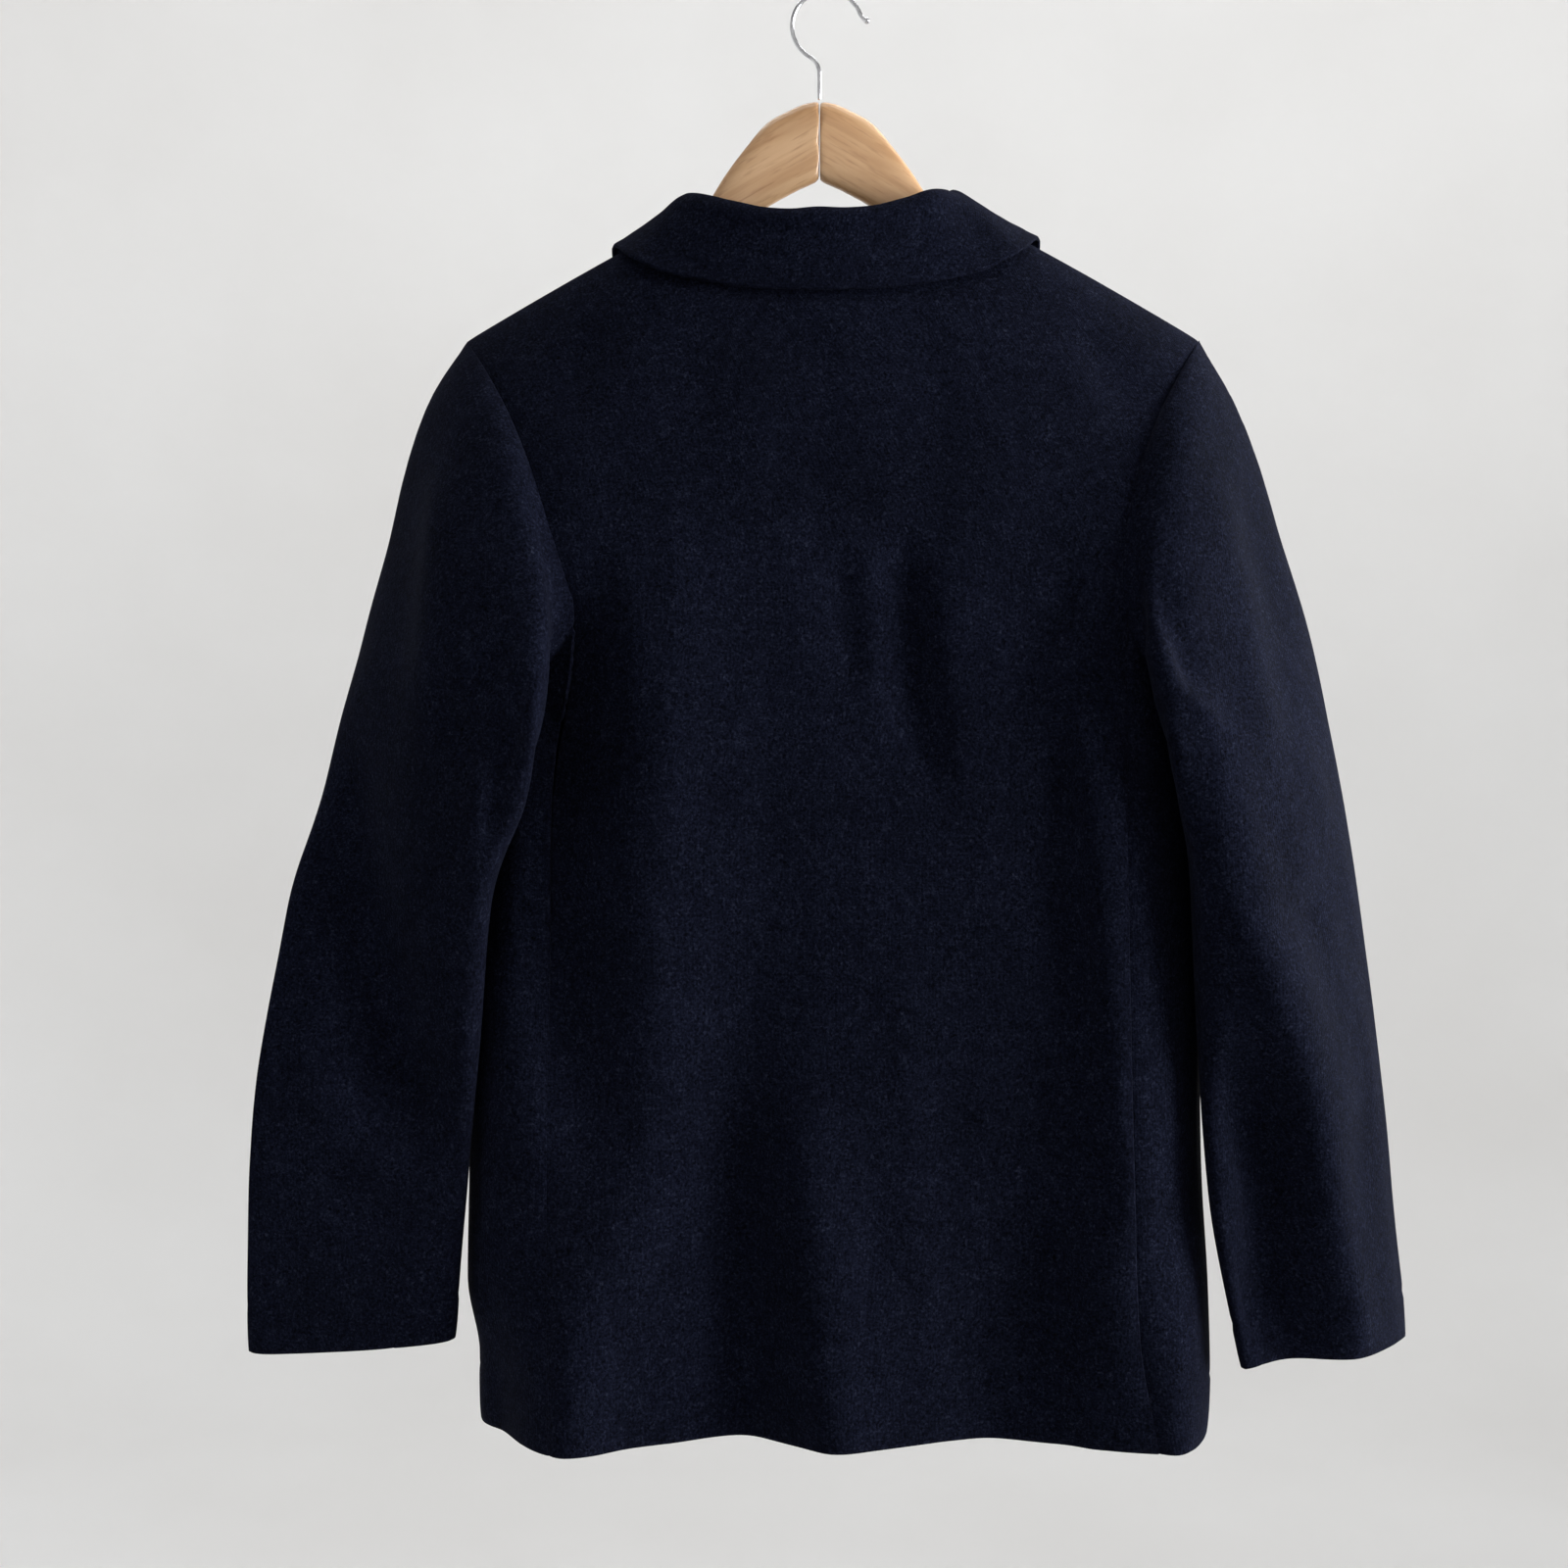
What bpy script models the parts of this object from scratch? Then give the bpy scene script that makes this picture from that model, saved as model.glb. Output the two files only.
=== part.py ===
# Tailored knit jacket hung on a two-part wooden hanger, seen from behind.
# Metres, +Z up. The back of the jacket faces -Y, the wearer's left is -X.
# Origin: the inner top of the hanger's hook.

import bpy
import math
import numpy as np

for old in list(bpy.data.objects):
    bpy.data.objects.remove(old, do_unlink=True)

# ---------------------------------------------------------------- sizes
CLOTH = 0.0018          # thickness of the felted knit
SEAM = 0.0004           # half of the gap left between two cut edges
HEM_Z = -0.843          # bottom edge of the body
CENTRE_X = 0.004        # centre line of the body
NECK_X = -0.0046        # centre line of the neck, hanger and hook shaft
NECK_HALF = 0.076       # half width of the neck opening at the shoulders
NECK_BACK_Z = -0.165    # lowest point of the back neckline
CLOSE_Z = -0.40         # height above which the body closes to the shoulders
CORNER = 2.3            # squareness of the body's side corners
BREAK_Z = -0.420        # where the lapels start to turn out
GORGE_Z = -0.180        # where lapel and collar meet on the neck edge
OVERLAP = 0.018         # each front reaches this far past the centre line
JOIN = math.radians(120)        # where the side-back seam meets the armhole
FRONT_JOIN = math.radians(236)  # lowest front corner of the armhole
LAPEL_LIFT = 0.0020     # lapel cloth above the front it lies on
COLLAR_LIFT = 0.0022    # collar cloth above what it lies on
BUTTON_R = 0.0100
BUTTON_T = 0.0038
BUTTON_Z = (-0.445, -0.550, -0.655)
WIRE_R = 0.0013         # hook wire
BALL_R = 0.0021         # ball at the end of the hook
HOOK_R = 0.0210         # centre line radius of the hook

# mesh steps
BACK_COLS, BACK_LOW, BACK_UP = 26, 15, 8
SIDE_COLS, CHEST_COLS, FRONT_LOW, FRONT_UP = 6, 9, 15, 7
SLEEVE_ROWS, LAPEL_ROWS = 15, 8
UPPER_STEP = 1.5        # rows gather towards the shoulder by this power


def table(names, rows):
    data = np.array(rows, dtype=float)
    return {name: data[:, i] for i, name in enumerate(names.split())}


def at(tab, key, column, t):
    """A column of a table at parameter t, smooth and without overshoot."""
    x, y = tab[key], tab[column]
    t = np.clip(np.asarray(t, dtype=float), x[0], x[-1])
    d = np.diff(y) / np.diff(x)
    m = np.zeros(len(x))
    m[0], m[-1] = d[0], d[-1]
    for k in range(1, len(x) - 1):
        if d[k - 1] * d[k] > 0:
            m[k] = 2 * d[k - 1] * d[k] / (d[k - 1] + d[k])
    i = np.clip(np.searchsorted(x, t, side="right") - 1, 0, len(x) - 2)
    h = x[i + 1] - x[i]
    s = (t - x[i]) / h
    return ((1 + 2 * s) * (1 - s) ** 2 * y[i] + s * (1 - s) ** 2 * h * m[i]
            + s * s * (3 - 2 * s) * y[i + 1] + s * s * (s - 1) * h * m[i + 1])


def smooth(t):
    t = np.clip(t, 0.0, 1.0)
    return t * t * (3 - 2 * t)


def unit(v):
    return v / np.maximum(np.linalg.norm(v, axis=-1, keepdims=True), 1e-12)


# ---------------------------------------------------------------- body
# One row per level: left and right side lines (x, y), ends of the flat part
# of the back and of the front, depth of the back and of the front.
BODY = table("z xl yl xr yr bl br yb fl fr yf", [
    (-0.843, -0.206, 0.004, 0.2215, -0.012, -0.150, 0.182, -0.066, -0.160, 0.165, 0.046),
    (-0.805, -0.2055, 0.003, 0.2230, -0.011, -0.149, 0.180, -0.066, -0.160, 0.165, 0.0465),
    (-0.760, -0.2125, 0.002, 0.222, -0.010, -0.148, 0.178, -0.066, -0.160, 0.165, 0.047),
    (-0.660, -0.2125, 0.000, 0.218, -0.008, -0.142, 0.167, -0.065, -0.155, 0.160, 0.049),
    (-0.540, -0.2020, -0.002, 0.2180, -0.006, -0.134, 0.152, -0.065, -0.150, 0.155, 0.051),
    (-0.425, -0.193, -0.004, 0.208, -0.006, -0.126, 0.142, -0.065, -0.145, 0.150, 0.050),
    (-0.360, -0.225, -0.002, 0.235, -0.004, -0.124, 0.136, -0.065, -0.142, 0.146, 0.048),
    (-0.280, -0.262, 0.004, 0.270, 0.002, -0.120, 0.130, -0.062, -0.140, 0.145, 0.045),
    (-0.190, -0.275, 0.010, 0.282, 0.008, -0.120, 0.130, -0.058, -0.140, 0.145, 0.042),
])

# The seam between back and front runs down behind each side.
SIDE_SEAM = table("z left right", [
    (-0.843, -0.158, 0.182),
    (-0.776, -0.159, 0.172),
    (-0.600, -0.160, 0.167),
    (-0.500, -0.160, 0.166),
    (-0.440, -0.162, 0.168),
])

# Armhole: top (shoulder tip), bottom, how far the back and the front half
# swing in towards the neck, how far the middle drops, and how much further in
# the lower part of the back half reaches.
ARMHOLE = {
    -1: dict(top=(-0.2180, -0.2030), low=(-0.1920, -0.4250), back=0.041, front=0.030, drop=0.010, reach=0.023),
    1: dict(top=(0.2250, -0.2030), low=(0.2050, -0.4250), back=0.044, front=0.034, drop=0.012, reach=0.009),
}

# The largest folds of the back as seen from behind: height towards the viewer
# (negative = trough), reach to the left and right, fade at the upper and lower
# end, and the path as (z, x) from the bottom up.
BACK_FOLDS = (
    ("trough on the left seam", -0.016, 0.023, 0.040, 0.150, 0.120,
     ((-0.740, -0.130), (-0.643, -0.142), (-0.582, -0.156), (-0.499, -0.159), (-0.416, -0.157), (-0.320, -0.150))),
    ("left ridge", 0.010, 0.038, 0.042, 0.160, 0.010,
     ((-0.865, -0.149), (-0.749, -0.131), (-0.665, -0.106), (-0.582, -0.097), (-0.499, -0.099), (-0.416, -0.097), (-0.300, -0.085))),
    ("centre trough", -0.014, 0.034, 0.030, 0.320, 0.010,
     ((-0.865, -0.055), (-0.749, -0.048), (-0.665, -0.052), (-0.582, -0.052), (-0.499, -0.045), (-0.380, -0.031))),
    ("centre ridge", 0.012, 0.028, 0.038, 0.220, 0.010,
     ((-0.865, 0.008), (-0.804, -0.001), (-0.738, -0.012), (-0.665, -0.021), (-0.560, -0.028))),
    ("right trough", -0.012, 0.036, 0.030, 0.200, 0.010,
     ((-0.865, 0.086), (-0.804, 0.104), (-0.749, 0.112), (-0.693, 0.113), (-0.580, 0.118))),
    ("right seam ridge", 0.010, 0.028, 0.032, 0.140, 0.010,
     ((-0.865, 0.184), (-0.776, 0.169), (-0.693, 0.166), (-0.582, 0.166), (-0.499, 0.164), (-0.400, 0.155))),
    ("blade trough", -0.004, 0.026, 0.018, 0.080, 0.080,
     ((-0.500, 0.064), (-0.452, 0.056), (-0.405, 0.048), (-0.310, 0.043))),
    ("hem ridge on the left", 0.013, 0.020, 0.026, 0.110, 0.010,
     ((-0.870, -0.148), (-0.800, -0.144), (-0.720, -0.136))),
    ("hem hollow on the left", -0.020, 0.014, 0.014, 0.110, 0.010,
     ((-0.870, -0.193), (-0.800, -0.195), (-0.730, -0.198))),
    ("hem ridge on the right", 0.012, 0.022, 0.020, 0.110, 0.010,
     ((-0.870, 0.203), (-0.800, 0.199), (-0.720, 0.191))),
)


def relief(folds, x, z):
    """Height towards the viewer of a set of folds."""
    total = np.zeros(np.broadcast(x, z).shape)
    for _, height, left, right, fade_top, fade_low, path in folds:
        run = table("z x", path)
        d = x - at(run, "z", "x", z)
        reach = np.where(d < 0, left, right)
        ends = (smooth((run["z"][-1] - z) / fade_top)
                * smooth((z - run["z"][0]) / fade_low))
        total = total + height * ends * np.exp(-(d / reach) ** 2)
    return total


def ridge_z(x):
    """Height of the shoulder line over x."""
    run = np.sqrt((x - CENTRE_X) ** 2 + 0.0025) - 0.0901
    left, right = -0.1265 - 0.560 * run, -0.1270 - 0.552 * run
    return left + (right - left) * smooth((x + 0.05) / 0.10)


def ridge_y(x):
    """The shoulders curve towards the front, as the hanger does."""
    return 0.020 * (x / 0.22) ** 2


def close_up(x, z):
    """1 on the body, falling to 0 at the shoulder line."""
    w = np.clip((z - CLOSE_Z) / (ridge_z(x) - CLOSE_Z), 0.0, 1.0)
    return (1 - w ** 1.6) ** (1 / 1.7)


def side_of(k, z):
    left = np.asarray(k) < 0
    pick = lambda a, b: np.where(left, at(BODY, "z", a, z), at(BODY, "z", b, z))
    return pick("xl", "xr"), pick("yl", "yr"), pick("bl", "br"), pick("fl", "fr")


def body(k, z):
    """Outer face of the body at level z. k runs round it: 0 centre back,
    1 end of the flat back, 2 side, 3 end of the flat front, 4 centre front;
    negative on the wearer's left."""
    k, z = np.broadcast_arrays(np.asarray(k, float), np.asarray(z, float))
    xs, ys, xb, xf = side_of(k, z)
    yb, yf = at(BODY, "z", "yb", z), at(BODY, "z", "yf", z)
    q, p = np.abs(k), 2 / CORNER
    back_turn = np.clip(q - 1, 0, 1) * math.pi / 2
    front_turn = np.clip(q - 2, 0, 1) * math.pi / 2
    x_back = CENTRE_X + (xb - CENTRE_X) * np.clip(q, 0, 1) + (xs - xb) * np.sin(back_turn) ** p
    y_back = ys + (yb - ys) * np.cos(back_turn) ** p
    x_front = xf + (xs - xf) * np.cos(front_turn) ** p + (CENTRE_X - xf) * np.clip(q - 3, 0, 2)
    y_front = ys + (yf - ys) * np.sin(front_turn) ** p
    x = np.where(q <= 2, x_back, x_front)
    y_front = y_front + 0.8 * ridge_y(x) * smooth((z - CLOSE_Z) / 0.15)
    y = np.where(q <= 2, y_back, y_front)
    y = y - np.where(q <= 2, relief(BACK_FOLDS, x, z) * smooth((2.0 - q) / 0.9), 0.0)
    y = ridge_y(x) + (y - ridge_y(x)) * close_up(x, z)
    return np.stack([x, y, z], axis=-1)


def body_normal(k, z):
    """Outward direction of the body's face."""
    k, z = np.broadcast_arrays(np.asarray(k, float), np.asarray(z, float))
    return unit(np.cross(body(k + 0.02, z) - body(k - 0.02, z),
                         body(k, z + 0.0008) - body(k, z - 0.0008)))


def back_k(x, z):
    """k of a point of the back with this x."""
    x, z = np.broadcast_arrays(np.asarray(x, float), np.asarray(z, float))
    side = np.where(x < CENTRE_X, -1.0, 1.0)
    xs, ys, xb, xf = side_of(side, z)
    flat = (x - CENTRE_X) / (xb - CENTRE_X)
    s = np.clip((x - xb) / (xs - xb), 0.0, 0.9999)
    return side * np.where(flat <= 1, flat, 1 + np.arcsin(s ** (CORNER / 2)) * 2 / math.pi)


def front_k(x, z, side):
    """k of a point of the front with this x; past the centre it runs on."""
    x, z = np.broadcast_arrays(np.asarray(x, float), np.asarray(z, float))
    xs, ys, xb, xf = side_of(side, z)
    flat = (x - xf) / (CENTRE_X - xf)
    s = np.clip((x - xf) / (xs - xf), 0.0, 0.9999)
    return side * np.where(flat >= 0, 3 + flat, 2 + np.arccos(s ** (CORNER / 2)) * 2 / math.pi)


def face_point(x, z, back):
    """Point of the back or front face over (x, z), below the shoulder line."""
    side = np.where(np.asarray(x) < CENTRE_X, -1, 1)
    return np.where(np.asarray(back)[..., None], body(back_k(x, z), z), body(front_k(x, z, side), z))


def face_normal(x, z, back):
    e = 0.0006
    dx = face_point(x + e, z, back) - face_point(x - e, z, back)
    dz = face_point(x, z, back) - face_point(x, z - e, back)
    n = np.cross(dx, dz)
    return unit(np.where(np.asarray(back)[..., None], n, -n))


def armhole_xz(side, a):
    hole = ARMHOLE[side]
    top, low = hole["top"], hole["low"]
    swing = np.where(np.sin(a) >= 0, hole["back"], hole["front"])
    s2 = np.sin(a) ** 2
    around = (np.asarray(a) % (2 * math.pi)) - math.radians(126)
    inward = swing * s2 + hole["reach"] * np.exp(-(around / 0.50) ** 2)
    x = (top[0] + low[0]) / 2 + (top[0] - low[0]) / 2 * np.cos(a) - side * inward
    z = (top[1] + low[1]) / 2 + (top[1] - low[1]) / 2 * np.cos(a) - hole["drop"] * s2
    return x, z


def armhole_k(side, a):
    x, z = armhole_xz(side, a)
    return np.where(np.sin(a) >= 0, back_k(x, z), front_k(x, z, side))


def armhole(side, a):
    """Armhole edge. a: 0 shoulder tip, 90 back, 180 lowest point, 270 front."""
    x, z = armhole_xz(side, a)
    return body(armhole_k(side, a), z)


def armhole_normal(side, a):
    """Both cloths turn into the armhole seam on this common direction."""
    a = np.asarray(a, float)
    x, z = armhole_xz(side, a)
    n = body_normal(armhole_k(side, a), np.minimum(z, ridge_z(x) - 0.004))
    low = smooth((-np.cos(a) - 0.2) / 0.8)[..., None]
    tip = np.exp(-(np.sin(a / 2) / 0.11) ** 2)[..., None]
    n = n * (1 - 0.85 * low) + low * np.array([0, 0, -1.2])
    return unit(n * (1 - tip) + tip * np.array([0.4 * side, 0, 1.0]))


def upper_rows(count):
    """Shares of the way from the side seams up to the shoulder line."""
    return 1 - (1 - np.linspace(0, 1, count + 1)) ** UPPER_STEP


# ---------------------------------------------------------------- sleeves
# One row per ring from armhole (t = 0) to cuff (t = 1): the outer, back, inner
# and front point of the ring.
SLEEVE = {
    -1: table("t ox oy oz bx by bz ix iy iz fx fy fz", [
        (0.00, -0.2180, 0.020, -0.203, -0.172, -0.060, -0.325, -0.196, -0.004, -0.427, -0.182, 0.046, -0.325),
        (0.10, -0.2490, 0.020, -0.249, -0.162, -0.085, -0.368, -0.178, -0.010, -0.438, -0.204, 0.054, -0.360),
        (0.22, -0.2680, 0.018, -0.312, -0.172, -0.092, -0.402, -0.184, -0.034, -0.462, -0.222, 0.052, -0.400),
        (0.36, -0.2835, 0.012, -0.382, -0.198, -0.082, -0.440, -0.180, -0.062, -0.489, -0.238, 0.042, -0.448),
        (0.52, -0.2965, -0.006, -0.468, -0.256, -0.053, -0.500, -0.187, -0.077, -0.534, -0.252, 0.034, -0.520),
        (0.68, -0.3125, -0.030, -0.562, -0.278, -0.044, -0.585, -0.193, -0.067, -0.605, -0.264, 0.028, -0.600),
        (0.84, -0.3300, -0.038, -0.675, -0.288, -0.042, -0.690, -0.204, -0.055, -0.700, -0.272, 0.024, -0.700),
        (1.00, -0.3350, -0.030, -0.800, -0.290, -0.038, -0.799, -0.213, -0.042, -0.791, -0.278, 0.022, -0.798),
    ]),
    1: table("t ox oy oz bx by bz ix iy iz fx fy fz", [
        (0.00, 0.2250, 0.020, -0.203, 0.184, -0.060, -0.325, 0.209, -0.004, -0.427, 0.192, 0.046, -0.325),
        (0.10, 0.2550, 0.020, -0.251, 0.181, -0.080, -0.362, 0.198, -0.008, -0.434, 0.212, 0.052, -0.358),
        (0.22, 0.2765, 0.018, -0.308, 0.193, -0.087, -0.396, 0.205, -0.030, -0.455, 0.231, 0.050, -0.398),
        (0.36, 0.2965, 0.014, -0.382, 0.216, -0.082, -0.436, 0.2045, -0.056, -0.485, 0.246, 0.041, -0.446),
        (0.52, 0.3090, 0.010, -0.468, 0.246, -0.075, -0.500, 0.2050, -0.065, -0.534, 0.256, 0.031, -0.520),
        (0.68, 0.3220, 0.006, -0.562, 0.260, -0.068, -0.590, 0.2080, -0.064, -0.605, 0.264, 0.022, -0.600),
        (0.84, 0.3320, 0.002, -0.675, 0.280, -0.054, -0.690, 0.2130, -0.070, -0.700, 0.272, 0.014, -0.700),
        (1.00, 0.3385, 0.000, -0.798, 0.300, -0.050, -0.795, 0.2310, -0.062, -0.803, 0.288, 0.012, -0.800),
    ]),
}

# Angle of the two sleeve seams on the ring (degrees): hind seam, front seam.
SLEEVE_SEAM = {
    -1: table("t hind front", [(0.0, 120, 236), (0.12, 140, 250), (0.25, 158, 254), (0.7, 172, 254), (0.85, 155, 250), (1.0, 126, 250)]),
    1: table("t hind front", [(0.0, 120, 236), (0.12, 138, 250), (0.25, 152, 254), (0.7, 160, 254), (0.85, 156, 250), (1.0, 150, 250)]),
}

SLEEVE_FOLDS = {
    -1: (
        ("upper arm crest", 0.010, 0.018, 0.030, 0.060, 0.090,
         ((-0.490, -0.224), (-0.400, -0.226), (-0.340, -0.224), (-0.250, -0.220))),
        ("forearm valley", -0.017, 0.030, 0.027, 0.100, 0.080,
         ((-0.710, -0.240), (-0.674, -0.246), (-0.608, -0.258), (-0.551, -0.269), (-0.452, -0.283), (-0.400, -0.286))),
    ),
    1: (
        ("long ridge", 0.014, 0.020, 0.032, 0.140, 0.020,
         ((-0.815, 0.306), (-0.713, 0.286), (-0.657, 0.275), (-0.608, 0.258), (-0.569, 0.241), (-0.470, 0.222))),
        ("forearm valley", -0.012, 0.018, 0.018, 0.080, 0.020,
         ((-0.830, 0.264), (-0.742, 0.2480), (-0.699, 0.2450), (-0.657, 0.2370), (-0.600, 0.2220))),
    ),
}


def soft_positive(s, e=0.25):
    return (s + np.sqrt(s * s + e * e)) / (1 + math.sqrt(1 + e * e))


def beside_body(p, side, gap):
    """Keep a point of the sleeve on the outer side of the body."""
    x, y, z = p[..., 0], p[..., 1], p[..., 2]
    level = np.clip(z, HEM_Z, ARMHOLE[side]["low"][1])
    xs, ys, xb, xf = side_of(side * np.ones_like(z), level)
    yb, yf = at(BODY, "z", "yb", level), at(BODY, "z", "yf", level)
    ridge = np.maximum(relief(BACK_FOLDS, x, level), 0.0)
    s_back = np.clip((ys - y - ridge) / (ys - yb), 0, 1) ** (CORNER / 2)
    s_front = np.clip((y - ys) / (yf - ys), 0, 1) ** (CORNER / 2)
    wall = np.where(y < ys,
                    xb + (xs - xb) * np.sqrt(1 - s_back ** 2) ** (2 / CORNER),
                    xf + (xs - xf) * np.sqrt(1 - s_front ** 2) ** (2 / CORNER)) + side * gap
    d = side * (x - wall)
    out = (d + np.sqrt(d * d + 0.003 ** 2)) / 2
    return np.stack([wall + side * out, y, z], axis=-1)


def sleeve(side, a, t):
    """Outer face of a sleeve. a runs round the ring as on the armhole."""
    a, t = np.broadcast_arrays(np.asarray(a, float), np.asarray(t, float))
    tab = SLEEVE[side]
    point = lambda c: np.stack([at(tab, "t", c + axis, t) for axis in "xyz"], axis=-1)
    o, b, i, f = point("o"), point("b"), point("i"), point("f")
    mid, half = (o + i) / 2, (o - i) / 2
    ca, sa = np.cos(a), np.sin(a)
    p = (mid + half * ca[..., None] + (b - mid) * soft_positive(sa)[..., None]
         + (f - mid) * soft_positive(-sa)[..., None])
    p[..., 1] -= relief(SLEEVE_FOLDS[side], p[..., 0], p[..., 2]) * smooth(sa / 0.7 + 0.5) * smooth(t / 0.2)
    s = np.clip(t / 0.20, 0, 1)
    ease = (1 - (1 - s) ** 2)[..., None]
    p = armhole(side, a) * (1 - ease) + p * ease
    # the cloth first stands off the armhole seam, most at its lowest part
    off = 0.010 * smooth((0.25 - ca) / 0.8) * (1 - np.exp(-t / 0.03)) * (1 - smooth((t - 0.10) / 0.3))
    away = unit(np.stack([side * (0.45 + 0.55 * ca * ca), -0.8 * sa, 0.0 * sa], axis=-1))
    p = p + off[..., None] * away
    low = smooth(t / 0.04) * smooth((ARMHOLE[side]["low"][1] + 0.030 - p[..., 2]) / 0.02)
    return p + (beside_body(p, side, 0.0045) - p) * low[..., None]


def sleeve_normal(side, a, t):
    a, t = np.broadcast_arrays(np.asarray(a, float), np.asarray(t, float))
    da = sleeve(side, a + 0.03, t) - sleeve(side, a - 0.03, t)
    t0, t1 = np.clip(t - 0.004, 0, 1), np.clip(t + 0.004, 0, 1)
    return unit(side * np.cross(da, sleeve(side, a, t1) - sleeve(side, a, t0)))


# ---------------------------------------------------------------- mesh tools
def material(name, colour, roughness, metallic):
    mat = bpy.data.materials.new(name)
    mat.use_nodes = True
    bsdf = mat.node_tree.nodes["Principled BSDF"]
    bsdf.inputs["Base Color"].default_value = (*colour, 1.0)
    bsdf.inputs["Roughness"].default_value = roughness
    bsdf.inputs["Metallic"].default_value = metallic
    return mat


def add_mesh(name, verts, faces, mat, location=(0, 0, 0)):
    mesh = bpy.data.meshes.new(name)
    mesh.from_pydata([tuple(float(c) for c in v) for v in verts], [], faces)
    mesh.materials.append(mat)
    mesh.update()
    ob = bpy.data.objects.new(name, mesh)
    ob.location = location
    bpy.context.scene.collection.objects.link(ob)
    return ob


def grid_normals(p):
    return unit(np.cross(np.gradient(p, axis=0), np.gradient(p, axis=1)))


def shell(name, p, n, mat, thick=CLOTH, used=None):
    """Closed sheet: outer face p, inner face a thickness behind it."""
    nu, nv = p.shape[:2]
    if used is None:
        used = np.ones((nu - 1, nv - 1), bool)
    index = {}
    outer, inner = [], []

    def vert(i, j):
        if (i, j) not in index:
            index[i, j] = len(outer)
            outer.append(p[i, j])
            inner.append(p[i, j] - thick * n[i, j])
        return index[i, j]

    quads = []
    vote = 0.0
    for i in range(nu - 1):
        for j in range(nv - 1):
            if used[i, j]:
                quads.append((vert(i, j), vert(i + 1, j), vert(i + 1, j + 1), vert(i, j + 1)))
                across = np.cross(p[i + 1, j + 1] - p[i, j], p[i, j + 1] - p[i + 1, j])
                vote += float(np.dot(across, n[i, j]))
    if vote < 0:
        quads = [q[::-1] for q in quads]
    # both faces are split along the same, shorter diagonal
    tris = []
    for a, b, c, d in quads:
        if np.linalg.norm(outer[a] - outer[c]) <= np.linalg.norm(outer[b] - outer[d]):
            tris += [(a, b, c), (a, c, d)]
        else:
            tris += [(a, b, d), (b, c, d)]
    count = len(outer)
    faces = list(tris) + [tuple(v + count for v in q[::-1]) for q in tris]
    edges = {}
    for q in tris:
        for a, b in zip(q, q[1:] + q[:1]):
            edges[a, b] = edges.get((a, b), 0) + 1
    for a, b in edges:
        if (b, a) not in edges:
            faces.append((b, a, a + count, b + count))
    return add_mesh(name, outer + inner, faces, mat)


def pull(edge, inside, dist):
    """Move a cut edge back into its own cloth, square to the edge."""
    way = inside - edge
    if edge.ndim > 1 and len(edge) > 2:
        run = unit(np.gradient(edge, axis=0))
        way = way - run * np.sum(way * run, axis=-1, keepdims=True)
    return edge + unit(way) * dist


def knit(name):
    return material("knit_" + name, (0.0075, 0.0085, 0.0125), 0.95, 0.0)


UP_DIR = np.array([0.0, 0.0, 1.0])


# ---------------------------------------------------------------- back
def neckline_z(x):
    s = np.clip(np.abs(x - NECK_X) / NECK_HALF, 0, 1)
    edge = ridge_z(NECK_X + np.sign(x - NECK_X) * NECK_HALF)
    return NECK_BACK_Z + (edge - NECK_BACK_Z) * s ** 2.4


def top_z(x):
    return np.where(np.abs(x - NECK_X) < NECK_HALF, neckline_z(x), ridge_z(x))


def seam_x(side, z):
    """Side-back seam, led into the armhole at its upper end."""
    x_join, z_join = armhole_xz(side, np.array(JOIN))
    base = at(SIDE_SEAM, "z", "left" if side < 0 else "right", z)
    return base + (x_join - base) * smooth((z + 0.50) / (z_join + 0.50))


def back_columns(cols):
    """Fractions across the back, with a column on each neck point."""
    left, right = ARMHOLE[-1]["top"][0], ARMHOLE[1]["top"][0]
    neck = [(NECK_X + s * NECK_HALF - left) / (right - left) for s in (-1, 1)]
    n1 = round(cols * 0.32)
    return np.concatenate([np.linspace(0, neck[0], n1 + 1)[:-1],
                           np.linspace(neck[0], neck[1], cols - 2 * n1 + 1)[:-1],
                           np.linspace(neck[1], 1, n1 + 1)])


def back_grid(cols, low, up):
    """x and z of the back's grid, columns across and rows from the hem up."""
    f = back_columns(cols)
    joins = [armhole_xz(s, np.array(JOIN)) for s in (-1, 1)]
    left, right = ARMHOLE[-1]["top"], ARMHOLE[1]["top"]
    xs, zs = [], []
    for v in np.linspace(0, 1, low + 1):
        zl, zr = (HEM_Z + (j[1] - HEM_Z) * v for j in joins)
        xl, xr = seam_x(-1, zl), seam_x(1, zr)
        xs.append(xl + (xr - xl) * f)
        zs.append(zl + (zr - zl) * f)
    bottom = zs[-1]
    top = top_z(left[0] + (right[0] - left[0]) * f)
    top[0], top[-1] = left[1], right[1]
    for v in upper_rows(up)[1:]:
        (xl, zl), (xr, zr) = (armhole_xz(s, np.array(JOIN * (1 - v))) for s in (-1, 1))
        lift_l = (zl - bottom[0]) / (left[1] - bottom[0])
        lift_r = (zr - bottom[-1]) / (right[1] - bottom[-1])
        xs.append(xl + (xr - xl) * f)
        zs.append(bottom + (top - bottom) * (lift_l + (lift_r - lift_l) * f))
    return np.stack(xs, axis=1), np.stack(zs, axis=1)


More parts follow.
